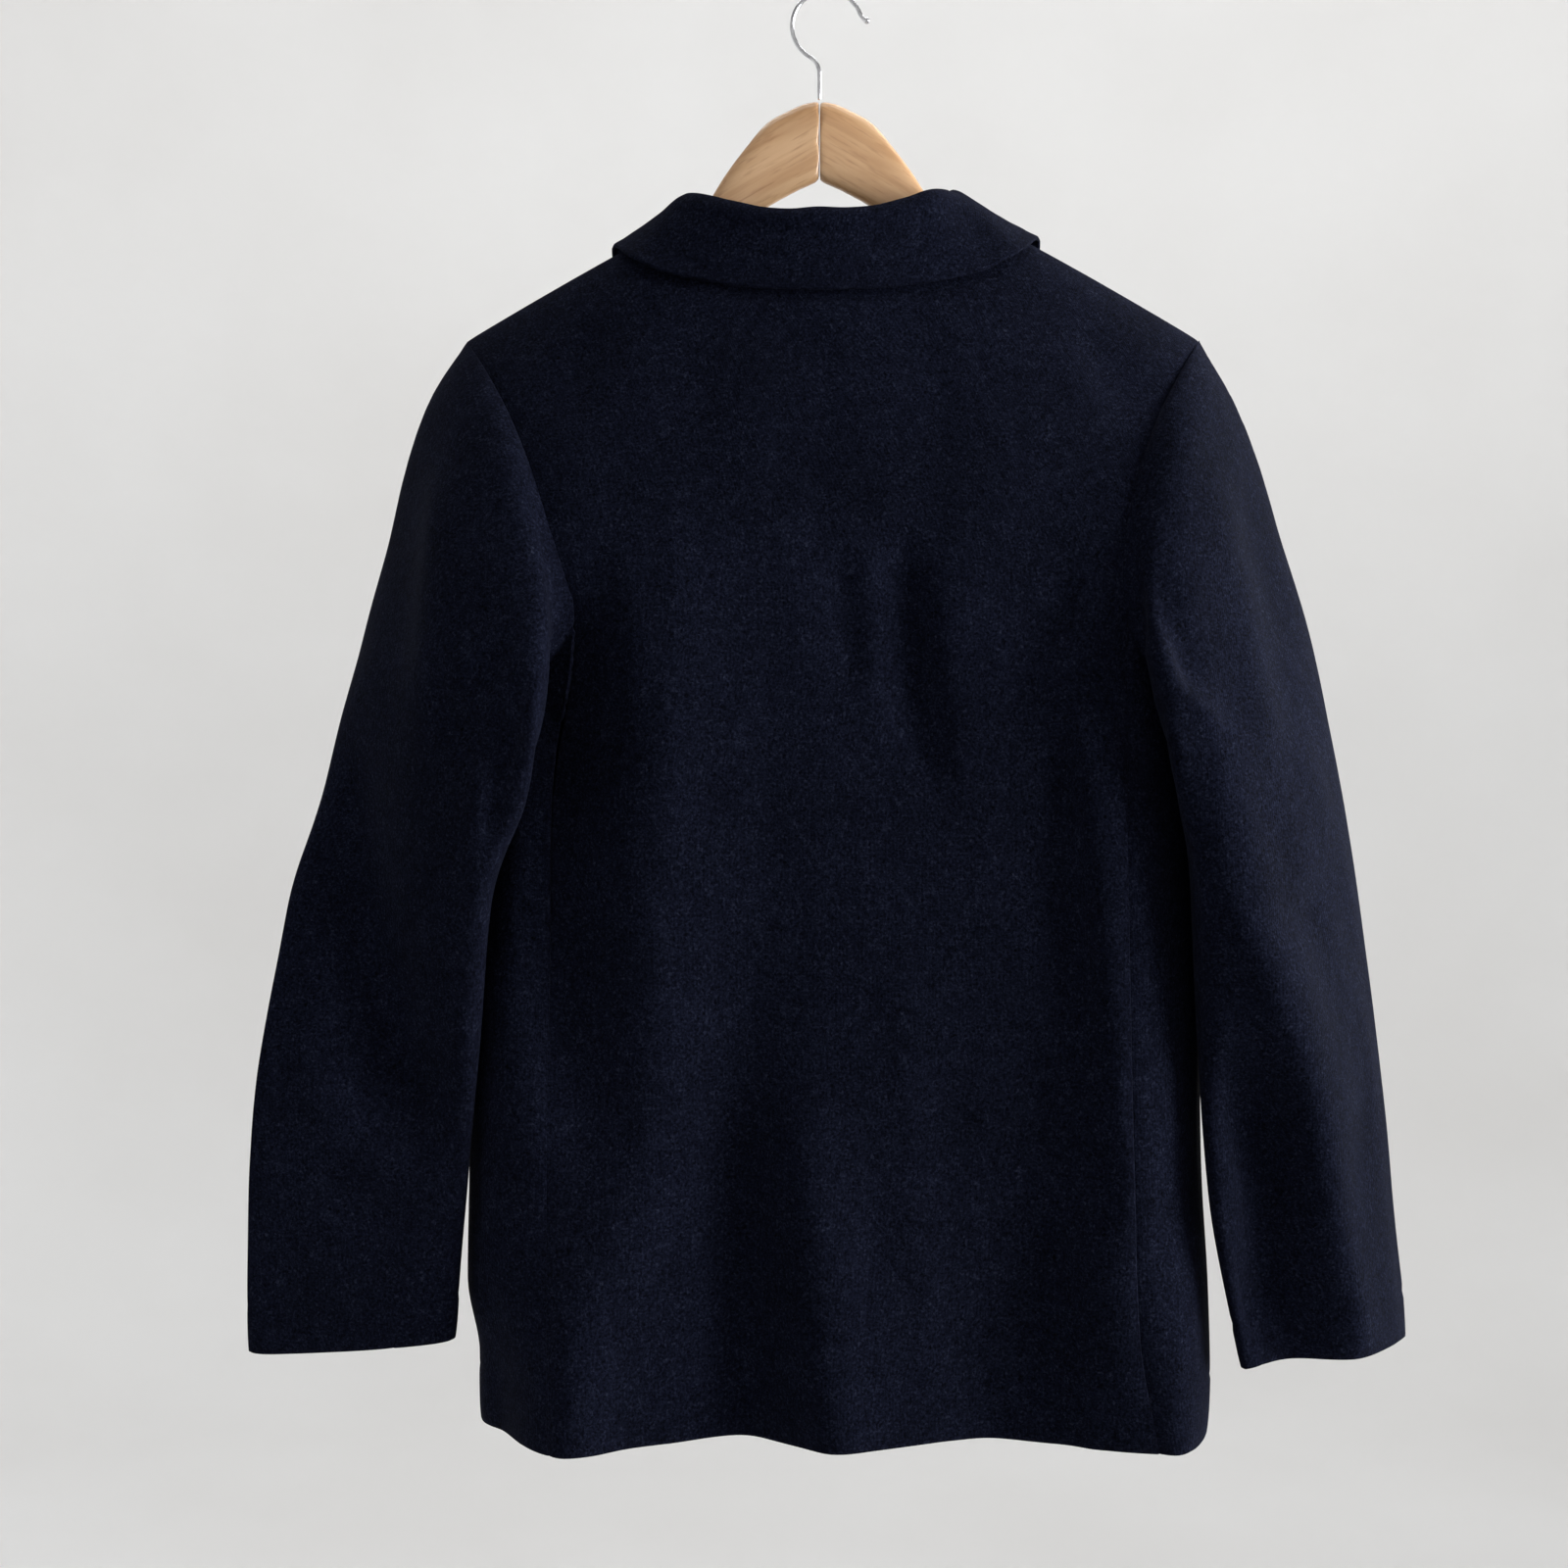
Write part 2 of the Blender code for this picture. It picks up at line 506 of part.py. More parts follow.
def build_back():
    x, z = back_grid(BACK_COLS, BACK_LOW, BACK_UP)
    k = back_k(x, z)
    p, n = body(k, z), body_normal(k, z)
    on_shoulder = np.abs(p[:, -1, 0] - NECK_X) >= NECK_HALF - 1e-6
    corner = np.abs(np.abs(p[:, -1, 0] - NECK_X) - NECK_HALF) < 1e-4
    n[on_shoulder, -1] = UP_DIR + n[on_shoulder, -1] * corner[on_shoulder, None]
    n = unit(n)
    for col, side in ((0, -1), (BACK_COLS, 1)):
        n[col, BACK_LOW:] = armhole_normal(side, JOIN * (1 - upper_rows(BACK_UP)))
    q = p.copy()
    q[0], q[-1] = pull(p[0], p[1], SEAM), pull(p[-1], p[-2], SEAM)
    q[:, -1] = pull(q[:, -1], q[:, -2], SEAM)
    return shell("back", q, n, knit("back"))


# ---------------------------------------------------------------- fronts
def front_edge_x(side, z):
    """Front edge up to the break, then the roll line of the lapel."""
    straight = CENTRE_X - side * OVERLAP
    top = NECK_X + side * NECK_HALF
    s = np.clip((z - BREAK_Z) / (ridge_z(top) - BREAK_Z), 0, 1)
    return straight + (top - straight) * s


def overlap_lift(side, x, z):
    """The wearer's left front lies over the right one."""
    if side > 0:
        return np.zeros(np.broadcast(x, z).shape)
    reach = smooth((x - (CENTRE_X - 0.045)) / 0.024)
    return (CLOTH + 0.0014) * reach * smooth((BREAK_Z + 0.080 - z) / 0.02)


def front_grid(side, side_cols, chest_cols, low, up):
    """k and z of the front's grid, from the side seam to the front edge."""
    cols = side_cols + chest_cols
    arm_a = np.linspace(JOIN, FRONT_JOIN, side_cols + 1)
    arm_x, arm_z = armhole_xz(side, arm_a)
    g = np.linspace(0, 1, chest_cols + 1)
    z_mid = arm_z[-1] + (BREAK_Z + 0.012 - arm_z[-1]) * g
    x_mid = arm_x[-1] + (front_edge_x(side, z_mid[-1]) - arm_x[-1]) * g
    k_top = np.concatenate([armhole_k(side, arm_a), front_k(x_mid, z_mid, side)[1:]])
    z_top = np.concatenate([arm_z, z_mid[1:]])
    k0 = back_k(seam_x(side, HEM_Z), HEM_Z)
    k1 = front_k(front_edge_x(side, HEM_Z), HEM_Z, side)
    dense = np.linspace(k0, k1, 400)
    line = body(dense, HEM_Z)
    run = np.concatenate([[0], np.cumsum(np.linalg.norm(np.diff(line, axis=0), axis=1))])
    share = np.concatenate([np.linspace(0, 0.30, side_cols + 1), np.linspace(0.30, 1, chest_cols + 1)[1:]])
    k_hem = np.interp(share * run[-1], run, dense)
    ks, zs = [], []
    for v in np.linspace(0, 1, low + 1):
        z = HEM_Z + (z_top - HEM_Z) * v
        k = k_hem + (k_top - k_hem) * v
        fix0 = back_k(seam_x(side, z[0]), z[0]) - k[0]
        fix1 = front_k(front_edge_x(side, z[-1]), z[-1], side) - k[-1]
        ks.append(k + fix0 * (1 - share) ** 2 + fix1 * share ** 2)
        zs.append(z)
    tip_x, tip_z = ARMHOLE[side]["top"]
    top = ridge_z(tip_x + (NECK_X + side * NECK_HALF - tip_x) * g)
    top[0] = tip_z
    for v in upper_rows(up)[1:]:
        xa, za = armhole_xz(side, np.array(FRONT_JOIN + (2 * math.pi - FRONT_JOIN) * v))
        lift_a = (za - z_mid[0]) / (tip_z - z_mid[0])
        z = z_mid + (top - z_mid) * (lift_a + (v - lift_a) * g)
        x = xa + (front_edge_x(side, z[-1]) - xa) * g
        k = front_k(x, z, side)
        ks.append(np.concatenate([np.repeat(k[:1], side_cols), k]))
        zs.append(np.concatenate([np.repeat(z[:1], side_cols), z]))
    used = np.ones((cols, low + up), bool)
    used[:side_cols, low:] = False
    return np.stack(ks, axis=1), np.stack(zs, axis=1), used


def build_front(side):
    k, z, used = front_grid(side, SIDE_COLS, CHEST_COLS, FRONT_LOW, FRONT_UP)
    p, n = body(k, z), body_normal(k, z)
    p[..., 1] += overlap_lift(side, p[..., 0], p[..., 2]) * (p[..., 1] > 0.02)
    s, m = SIDE_COLS, FRONT_LOW
    n[s:, -1] = UP_DIR
    n[:s + 1, m] = armhole_normal(side, np.linspace(JOIN, FRONT_JOIN, s + 1))
    n[s, m:] = armhole_normal(side, FRONT_JOIN + (2 * math.pi - FRONT_JOIN) * upper_rows(FRONT_UP))
    q = p.copy()
    q[0, :m + 1] = pull(p[0, :m + 1], p[1, :m + 1], SEAM)
    q[:s + 1, m] = pull(q[:s + 1, m], p[:s + 1, m - 1], SEAM)
    q[s, m + 1:] = pull(p[s, m + 1:], p[s + 1, m + 1:], SEAM)
    q[s:, -1] = pull(q[s:, -1], p[s:, -2], SEAM)
    name = "front_left" if side < 0 else "front_right"
    return shell(name, q, n, knit(name), used=used)


# ---------------------------------------------------------------- lapels
# Width of the turned-out lapel from the break (v = 0) to the gorge (v = 1).
LAPEL = table("v width", [(0.0, 0.007), (0.12, 0.026), (0.35, 0.048), (0.60, 0.062), (0.85, 0.070), (1.0, 0.067)])
LAPEL_START = {-1: BREAK_Z + 0.006, 1: BREAK_Z + 0.078}
ROLL_R = 0.00145


def edge_frame(side, z):
    """Point on a front's neck edge, its outward direction, and the direction
    across the edge into the neck opening."""
    x = front_edge_x(side, z)
    back = np.zeros(np.shape(z), bool)
    p, n = face_point(x, z, back), face_normal(x, z, back)
    p = p + n * overlap_lift(side, x, z)[..., None]
    e = 0.002
    along = face_point(front_edge_x(side, z + e), z + e, back) - face_point(front_edge_x(side, z - e), z - e, back)
    return p, n, unit(np.cross(unit(along), n) * side)


def build_lapel(side):
    v = np.linspace(0, 1, LAPEL_ROWS + 1)
    z = LAPEL_START[side] + (GORGE_Z - 0.0008 - LAPEL_START[side]) * v
    p, n, into = edge_frame(side, z)
    if side * into[0, 0] > 0:
        into = -into
    start = p - n * CLOTH / 2 + into * 0.0006
    cols = []
    for turn in np.radians([0, 60, 120, 180]):
        cols.append(start + into * ROLL_R * math.sin(turn) + n * ROLL_R * (1 - math.cos(turn)))
    width = at(LAPEL, "v", "width", v)
    out_x, out_z = -into[:, 0], -into[:, 2]
    for f in (0.15, 0.4, 0.7, 1.0):
        x, zz = p[:, 0] + out_x * width * f, z + out_z * width * f
        back = np.zeros(len(x), bool)
        lift = 2 * ROLL_R - CLOTH / 2 + overlap_lift(side, x, zz)
        cols.append(face_point(x, zz, back) + face_normal(x, zz, back) * lift[:, None])
    mid = np.stack(cols, axis=0)
    normal = grid_normals(mid)
    if normal[-1, LAPEL_ROWS // 2, 1] < 0:
        normal = -normal
    name = "lapel_left" if side < 0 else "lapel_right"
    return shell(name, mid + normal * CLOTH / 2, normal, knit(name))


# ---------------------------------------------------------------- collar
# From centre back (u = 0) over the shoulder (0.5) to the front end (1): the
# direction and height of the stand, the roll's radius, and the lower edge of
# the fall: distance from the neck's centre line, height at the back, and drop
# below the shoulder line further forward.
COLLAR = table("u ex ey ez height roll edge_x edge_z drop", [
    (0.00, 0.00, -0.14, 0.99, 0.0268, 0.0034, 0.0000, -0.1852, 0.0806),
    (0.10, 0.02, -0.14, 0.99, 0.0245, 0.0034, 0.0270, -0.1843, 0.0740),
    (0.21, 0.04, -0.14, 0.99, 0.0215, 0.0033, 0.0540, -0.1812, 0.0667),
    (0.30, 0.08, -0.12, 0.99, 0.0175, 0.0032, 0.0750, -0.1768, 0.0540),
    (0.38, 0.15, -0.10, 0.98, 0.0135, 0.0031, 0.0950, -0.1705, 0.0360),
    (0.44, 0.24, -0.05, 0.96, 0.0110, 0.0031, 0.1120, -0.1640, 0.0170),
    (0.50, 0.35, 0.00, 0.94, 0.0095, 0.0030, 0.1235, -0.1580, 0.0000),
    (0.56, 0.25, 0.12, 0.95, 0.0088, 0.0028, 0.1245, -0.1650, 0.0120),
    (0.64, 0.05, 0.25, 0.94, 0.0080, 0.0026, 0.1255, -0.1720, 0.0225),
    (0.80, -0.55, 0.20, 0.75, 0.0060, 0.0020, 0.1250, -0.1840, 0.0305),
    (1.00, -0.93, 0.10, 0.34, 0.0045, 0.0016, 0.1180, -0.1930, 0.0395),
])
COLLAR_WIDE = {-1: 0.98, 1: 1.05}   # the collar sits a little to the right


def neck_line():
    """The back's neck edge as it is cut, point by point."""
    x, z = back_grid(BACK_COLS, BACK_LOW, BACK_UP)
    x, z = x[:, -1], z[:, -1]
    keep = np.abs(x - NECK_X) <= NECK_HALF + 1e-6
    return body(back_k(x[keep], z[keep]), z[keep])


def front_line(side):
    """A front's neck edge as it is cut, from the break up."""
    k, z, _ = front_grid(side, SIDE_COLS, CHEST_COLS, FRONT_LOW, FRONT_UP)
    p = body(k[-1, FRONT_LOW:], z[-1, FRONT_LOW:])
    p[:, 1] += overlap_lift(side, p[:, 0], p[:, 2])
    return p


def along(line, axis, value):
    order = np.argsort(line[:, axis])
    return np.array([np.interp(value, line[order, axis], line[order, c]) for c in range(3)])


NECK_LINE = neck_line()
FRONT_LINE = {side: front_line(side) for side in (-1, 1)}
# sections of the collar: on the back's columns, then down the front edge
COLLAR_U = ([math.asin(s) / math.pi for s in (0.0, 0.2, 0.4, 0.6, 0.8, 0.92)]
            + [0.44, 0.50, 0.56, 0.64, 0.75, 0.87, 1.0])


def off_shell(q, clear):
    """Push a point outwards until it clears the body by a distance."""
    for _ in range(3):
        x = q[..., 0]
        z = np.minimum(q[..., 2], ridge_z(x) - 0.0012)
        back = q[..., 1] < ridge_y(x)
        foot, n = face_point(x, z, back), face_normal(x, z, back)
        d = np.sum((q - foot) * n, axis=-1)
        q = q + n * np.maximum(clear - d, 0)[..., None]
    return q


def collar_section(side, u):
    """Mid line of the collar across its width at u."""
    c = {name: float(at(COLLAR, "u", name, u)) for name in COLLAR}
    turn = float(smooth((u - 0.5) / 0.2))
    if u <= 0.5:
        x = NECK_X + side * NECK_HALF * math.sin(math.pi * u)
        seam = along(NECK_LINE, 0, x) + np.array([0, CLOTH / 2 * min(1.0, (0.5 - u) / 0.1), 0.0012])
    else:
        top = FRONT_LINE[side][-1, 2]
        z = top + (GORGE_Z - top) * (u - 0.5) / 0.5
        p, n, into = edge_frame(side, np.array(min(z, top - 0.002)))
        if side * into[0] > 0:
            into = -into
        seam = along(FRONT_LINE[side], 2, z) - n * CLOTH / 2 * turn + into * 0.0012 * turn
        seam = seam + np.array([-0.0010 * side, 0, 0.0012]) * (1 - turn)
    e1 = unit(np.array([side * c["ex"], c["ey"], c["ez"]]))
    height = c["height"] * (1 if side < 0 else 1 - 0.55 * math.exp(-((u - 0.44) / 0.09) ** 2))
    top = seam + e1 * height
    ex = NECK_X + side * c["edge_x"] * (1 + (COLLAR_WIDE[side] - 1) * float(smooth(u / 0.4)))
    drop = c["drop"] * (1 + 0.2 * float(smooth((u - 0.6) / 0.3)) * (side > 0))
    ez = float(ridge_z(np.array(ex))) - max(drop, 0.0006)
    ez = c["edge_z"] + (ez - c["edge_z"]) * float(smooth((u - 0.33) / 0.1))
    back = np.array(u < 0.5)
    lift = COLLAR_LIFT + 0.0024 * math.exp(-((u - 0.5) / 0.12) ** 2)
    edge = face_point(np.array(ex), np.array(ez), back) + face_normal(np.array(ex), np.array(ez), back) * lift
    edge = edge + np.array([0, 0, (lift - COLLAR_LIFT) * 1.2])
    toward = edge - top
    e2 = unit(toward - e1 * np.dot(toward, e1))
    r = c["roll"]
    centre = top - e1 * r + e2 * r
    fall = unit(toward)
    end = math.atan2(np.dot(fall, e2), np.dot(fall, e1))
    points = [seam, seam + (top - e1 * r - seam) * 0.55]
    for s in (0.0, 0.33, 0.67, 1.0):
        points.append(centre - e2 * r * math.cos(end * s) + e1 * r * math.sin(end * s))
    last = points[-1]
    for s in (0.3, 0.65, 1.0):
        q = last + (edge - last) * s
        if s < 1:
            q = off_shell(q, lift + 0.0006)
        points.append(q)
    return np.array(points)


def build_collar():
    left = [collar_section(-1, u) for u in COLLAR_U[::-1]]
    right = [collar_section(1, u) for u in COLLAR_U[1:]]
    mid = np.stack(left + right, axis=0)
    normal = grid_normals(mid)
    if normal[len(COLLAR_U) - 1, -1, 1] > 0:
        normal = -normal
    return shell("collar", mid + normal * CLOTH / 2, normal, knit("collar"))


# ---------------------------------------------------------------- buttons
# Turned profile: (radius share, height share); the face is dished.
BUTTON = ((0.0, 0.0), (0.80, 0.0), (0.97, 0.22), (1.0, 0.5), (0.96, 0.85), (0.86, 1.0),
          (0.74, 0.92), (0.64, 0.66), (0.0, 0.62))


def build_button(number, z):
    steps = 24
    verts, faces, rings = [], [], []
    for r, h in BUTTON:
        if r == 0.0:
            rings.append([len(verts)])
            verts.append((0.0, h * BUTTON_T, 0.0))
            continue
        rings.append(list(range(len(verts), len(verts) + steps)))
        for s in range(steps):
            a = 2 * math.pi * s / steps
            verts.append((r * BUTTON_R * math.cos(a), h * BUTTON_T, r * BUTTON_R * math.sin(a)))
    for low, high in zip(rings, rings[1:]):
        for s in range(steps):
            t = (s + 1) % steps
            if len(low) == 1:
                faces.append((low[0], high[t], high[s]))
            elif len(high) == 1:
                faces.append((low[s], low[t], high[0]))
            else:
                faces.append((low[s], low[t], high[t], high[s]))
    faces = [f[::-1] for f in faces]
    x = np.array(CENTRE_X)
    base = face_point(x, np.array(z), np.array(False))
    y = float(base[1] + overlap_lift(-1, x, np.array(z))) + 0.0005
    ob = add_mesh("button_%d" % number, verts, faces,
                  material("button_resin_%d" % number, (0.012, 0.012, 0.015), 0.38, 0.0),
                  (CENTRE_X, y, z))
    for n, (dx, dz) in enumerate(((1, 1), (1, -1), (-1, 1), (-1, -1))):
        bpy.ops.mesh.primitive_cylinder_add(vertices=10, radius=0.0009, depth=0.02, rotation=(math.pi / 2, 0, 0),
                                            location=(CENTRE_X + dx * 0.0019, y, z + dz * 0.0019))
        hole = bpy.context.object
        hole.name = "hole_%d_%d" % (number, n)
        hole.hide_render = True
        hole.display_type = "WIRE"
        cut = ob.modifiers.new("hole_%d" % n, "BOOLEAN")
        cut.operation = "DIFFERENCE"
        cut.solver = "EXACT"
        cut.object = hole
    return ob


# ---------------------------------------------------------------- hanger
# Half of the wooden hanger, d outwards from the joint: upper edge, depth of
# the wood and half of its thickness. Under the shoulders the upper edge
# follows the shoulder line.
WOOD = table("d top depth half", [
    (0.0000, -0.0642, 0.0479, 0.0062),
    (0.0080, -0.0652, 0.0506, 0.0062),
    (0.0175, -0.0694, 0.0511, 0.0062),
    (0.0309, -0.0764, 0.0516, 0.0062),
    (0.0420, -0.0893, 0.0449, 0.0062),
    (0.0555, -0.1068, 0.0352, 0.0060),
    (0.0648, -0.1218, 0.0256, 0.0054),
    (0.0700, -0.1320, 0.0200, 0.0048),
    (0.0760, -0.1435, 0.0160, 0.0044),
    (0.0900, -0.1500, 0.0165, 0.0044),
    (0.1500, -0.1800, 0.0185, 0.0064),
    (0.1850, -0.2000, 0.0200, 0.0080),
    (0.1960, -0.2060, 0.0150, 0.0062),
])
WOOD_BELOW = 0.0085     # wood below the shoulder line


def build_arm(side):
    d = np.concatenate([np.linspace(0.00015, 0.066, 12), np.linspace(0.066, 0.196, 12)[1:]])
    steps = 14
    angle = 2 * math.pi * np.arange(steps) / steps
    verts, faces = [], []
    for station in d:
        top, depth, half = (float(at(WOOD, "d", c, station)) for c in ("top", "depth", "half"))
        x = NECK_X + side * station
        top += (float(ridge_z(np.array(x))) - WOOD_BELOW - top) * float(smooth((station - 0.080) / 0.03))
        square = 0.75 + 0.2 * float(smooth((station - 0.04) / 0.04))
        zc, hz = top - depth / 2, depth / 2
        for a in angle:
            cy, cz = math.cos(a), math.sin(a)
            verts.append((x, float(ridge_y(x)) + half * math.copysign(abs(cy) ** square, cy),
                          zc + hz * math.copysign(abs(cz) ** square, cz)))
    for i in range(len(d) - 1):
        for j in range(steps):
            k = (j + 1) % steps
            faces.append((i * steps + j, (i + 1) * steps + j, (i + 1) * steps + k, i * steps + k))
    faces.append(tuple(range(steps)))
    faces.append(tuple((len(d) - 1) * steps + j for j in reversed(range(steps))))
    if side > 0:
        faces = [f[::-1] for f in faces]
    name = "hanger_half_left" if side < 0 else "hanger_half_right"
    return add_mesh(name, verts, faces, material("varnished_" + name, (0.52, 0.31, 0.16), 0.22, 0.0))


def build_hook():
    """Bent wire: ball tip, round hook over the rail, small bend back to the
    shaft, and the straight shaft down to the wood."""
    centre = np.array([0.0, -HOOK_R + WIRE_R])
    path = []
    for a in np.radians(np.linspace(17, 240, 30)):
        path.append(centre + HOOK_R * np.array([math.cos(a), math.sin(a)]))
    tip = path[0] + np.array([0.0034, -0.0028])
    path.insert(0, (path[0] + tip) / 2 + np.array([-0.0003, -0.0002]))
    path.insert(0, tip)
    end = path[-1]
    turn = math.radians(60)
    bend_r = (NECK_X - end[0]) / (1 - math.cos(turn))
    bend_centre = np.array([NECK_X - bend_r, end[1] - bend_r * math.sin(turn)])
    for a in np.linspace(turn, 0, 8)[1:]:
        path.append(bend_centre + bend_r * np.array([math.cos(a), math.sin(a)]))
    foot = float(at(WOOD, "d", "top", 0.0)) + 0.0004
    path.append(np.array([NECK_X, (path[-1][1] + foot) / 2]))
    path.append(np.array([NECK_X, foot]))
    path = np.array(path)
    # the ball: extra rings before the tip
    run = unit(path[1] - path[0])
    rings = [(path[0] - run * BALL_R * c, BALL_R * s) for c, s in
             ((0.94, 0.34), (0.77, 0.64), (0.5, 0.87), (0.17, 0.985), (-0.17, 0.985), (-0.5, 0.87), (-0.72, 0.69))]
    rings += [(q, WIRE_R) for q in path[1:]]
    steps = 12
    verts, faces = [], []
    for i, (q, r) in enumerate(rings):
        before = rings[max(i - 1, 0)][0]
        after = rings[min(i + 1, len(rings) - 1)][0]
        along = unit(np.array(after) - np.array(before))
        across = np.array([-along[1], along[0]])
        for s in range(steps):
            a = 2 * math.pi * s / steps
            verts.append((q[0] + across[0] * r * math.cos(a), r * math.sin(a), q[1] + across[1] * r * math.cos(a)))
    for i in range(len(rings) - 1):
        for j in range(steps):
            k = (j + 1) % steps
            faces.append((i * steps + j, (i + 1) * steps + j, (i + 1) * steps + k, i * steps + k))
    tip_vert = len(verts)
    q = path[0] - run * BALL_R
    verts.append((q[0], 0.0, q[1]))
    for j in range(steps):
        faces.append((tip_vert, j, (j + 1) % steps))
    faces.append(tuple((len(rings) - 1) * steps + j for j in reversed(range(steps))))
    return add_mesh("hook", verts, faces, material("chromed_wire", (0.72, 0.72, 0.73), 0.12, 1.0))


def sleeve_columns(side, upper, t):
    """Ring angles of a sleeve piece: at the armhole they are those of the
    body's cut edge, and from there they even out."""
    around = 2 * math.pi
    if upper:
        start = np.concatenate([FRONT_JOIN - around + (around - FRONT_JOIN) * upper_rows(FRONT_UP),
                                (JOIN * (1 - upper_rows(BACK_UP)))[::-1][1:]])
    else:
        start = np.linspace(JOIN, FRONT_JOIN, SIDE_COLS + 1)
    seam = SLEEVE_SEAM[side]
    hind = np.radians(at(seam, "t", "hind", t))
    front = np.radians(at(seam, "t", "front", t))
    first, last = (front - around, hind) if upper else (hind, front)
    share = (start - start[0]) / (start[-1] - start[0])
    even = np.linspace(0, 1, len(start))
    mix = smooth(t / 0.5)
    f = share[:, None] * (1 - mix) + even[:, None] * mix
    return first[None, :] + (last - first)[None, :] * f


def build_sleeve(side, upper):
    t = np.linspace(0, 1, SLEEVE_ROWS + 1)
    t = t * (0.70 + 0.30 * t)           # closer rings near the armhole
    a = sleeve_columns(side, upper, t)
    tt = np.broadcast_to(t[None, :], a.shape)
    p, n = sleeve(side, a, tt), sleeve_normal(side, a, tt)
    n[:, 0] = armhole_normal(side, a[:, 0])
    n[:, 1] = unit(n[:, 0] + n[:, 1] + n[:, 2])
    q = p.copy()
    gap = SEAM * (1 + 0.8 * upper * np.exp(-t / 0.04))[:, None]
    q[0], q[-1] = pull(p[0], p[1], gap), pull(p[-1], p[-2], gap)
    q[:, 0] = pull(q[:, 0], q[:, 1], SEAM)
    name = ("top_sleeve_" if upper else "under_sleeve_") + ("left" if side < 0 else "right")
    return shell(name, q, n, knit(name))


build_back()
build_collar()
for side in (-1, 1):
    build_front(side)
    build_lapel(side)
    build_sleeve(side, True)
    build_sleeve(side, False)
    build_arm(side)
build_hook()
for number, z in enumerate(BUTTON_Z):
    build_button(number + 1, z)
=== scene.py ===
# Looks of a tailored knit jacket on a wooden hanger, built round its CAD frame.
# Metres, +Z up. The back of the jacket faces -Y, the wearer's left is -X.
# Every cloth piece is a fine thin sheet on the surface of its CAD solid, with
# listed creases, rolled seams and turned-up hems.

import math

import bpy
import numpy as np
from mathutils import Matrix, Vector


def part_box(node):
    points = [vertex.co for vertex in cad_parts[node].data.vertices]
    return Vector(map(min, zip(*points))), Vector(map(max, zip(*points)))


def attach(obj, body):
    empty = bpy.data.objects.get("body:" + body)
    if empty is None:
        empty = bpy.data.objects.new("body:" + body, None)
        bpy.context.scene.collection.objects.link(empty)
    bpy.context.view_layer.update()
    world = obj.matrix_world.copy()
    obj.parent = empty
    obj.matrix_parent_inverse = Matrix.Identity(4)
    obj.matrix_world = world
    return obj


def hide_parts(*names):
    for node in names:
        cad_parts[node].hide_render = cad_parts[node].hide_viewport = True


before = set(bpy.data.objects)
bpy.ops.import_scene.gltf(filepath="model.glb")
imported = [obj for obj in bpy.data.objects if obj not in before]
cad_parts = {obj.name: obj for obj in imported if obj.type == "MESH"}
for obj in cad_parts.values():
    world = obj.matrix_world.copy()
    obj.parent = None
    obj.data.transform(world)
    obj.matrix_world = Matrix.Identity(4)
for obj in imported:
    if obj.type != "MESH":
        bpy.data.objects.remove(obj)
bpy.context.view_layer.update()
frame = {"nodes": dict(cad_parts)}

# ---------------------------------------------------------------- sizes
CLOTH = 0.0018          # thickness of the felted knit
SEAM = 0.0004           # half of the gap left between two cut edges
HEM_Z = -0.843          # bottom edge of the body
CENTRE_X = 0.004        # centre line of the body
NECK_X = -0.0046        # centre line of the neck, hanger and hook shaft
NECK_HALF = 0.076       # half width of the neck opening at the shoulders
NECK_BACK_Z = -0.165    # lowest point of the back neckline
CLOSE_Z = -0.40         # height above which the body closes to the shoulders
CORNER = 2.3            # squareness of the body's side corners
BREAK_Z = -0.420        # where the lapels start to turn out
GORGE_Z = -0.180        # where lapel and collar meet on the neck edge
OVERLAP = 0.018         # each front reaches this far past the centre line
JOIN = math.radians(120)        # where the side-back seam meets the armhole
FRONT_JOIN = math.radians(236)  # lowest front corner of the armhole
LAPEL_LIFT = 0.0020     # lapel cloth above the front it lies on
COLLAR_LIFT = 0.0022    # collar cloth above what it lies on
BUTTON_R = 0.0100
BUTTON_T = 0.0038
BUTTON_Z = (-0.445, -0.550, -0.655)
WIRE_R = 0.0013         # hook wire
BALL_R = 0.0021         # ball at the end of the hook
HOOK_R = 0.0210         # centre line radius of the hook

def table(names, rows):
    data = np.array(rows, dtype=float)
    return {name: data[:, i] for i, name in enumerate(names.split())}


def at(tab, key, column, t):
    """A column of a table at parameter t, smooth and without overshoot."""
    x, y = tab[key], tab[column]
    t = np.clip(np.asarray(t, dtype=float), x[0], x[-1])
    d = np.diff(y) / np.diff(x)
    m = np.zeros(len(x))
    m[0], m[-1] = d[0], d[-1]
    for k in range(1, len(x) - 1):
        if d[k - 1] * d[k] > 0:
            m[k] = 2 * d[k - 1] * d[k] / (d[k - 1] + d[k])
    i = np.clip(np.searchsorted(x, t, side="right") - 1, 0, len(x) - 2)
    h = x[i + 1] - x[i]
    s = (t - x[i]) / h
    return ((1 + 2 * s) * (1 - s) ** 2 * y[i] + s * (1 - s) ** 2 * h * m[i]
            + s * s * (3 - 2 * s) * y[i + 1] + s * s * (s - 1) * h * m[i + 1])


def smooth(t):
    t = np.clip(t, 0.0, 1.0)
    return t * t * (3 - 2 * t)


def unit(v):
    return v / np.maximum(np.linalg.norm(v, axis=-1, keepdims=True), 1e-12)


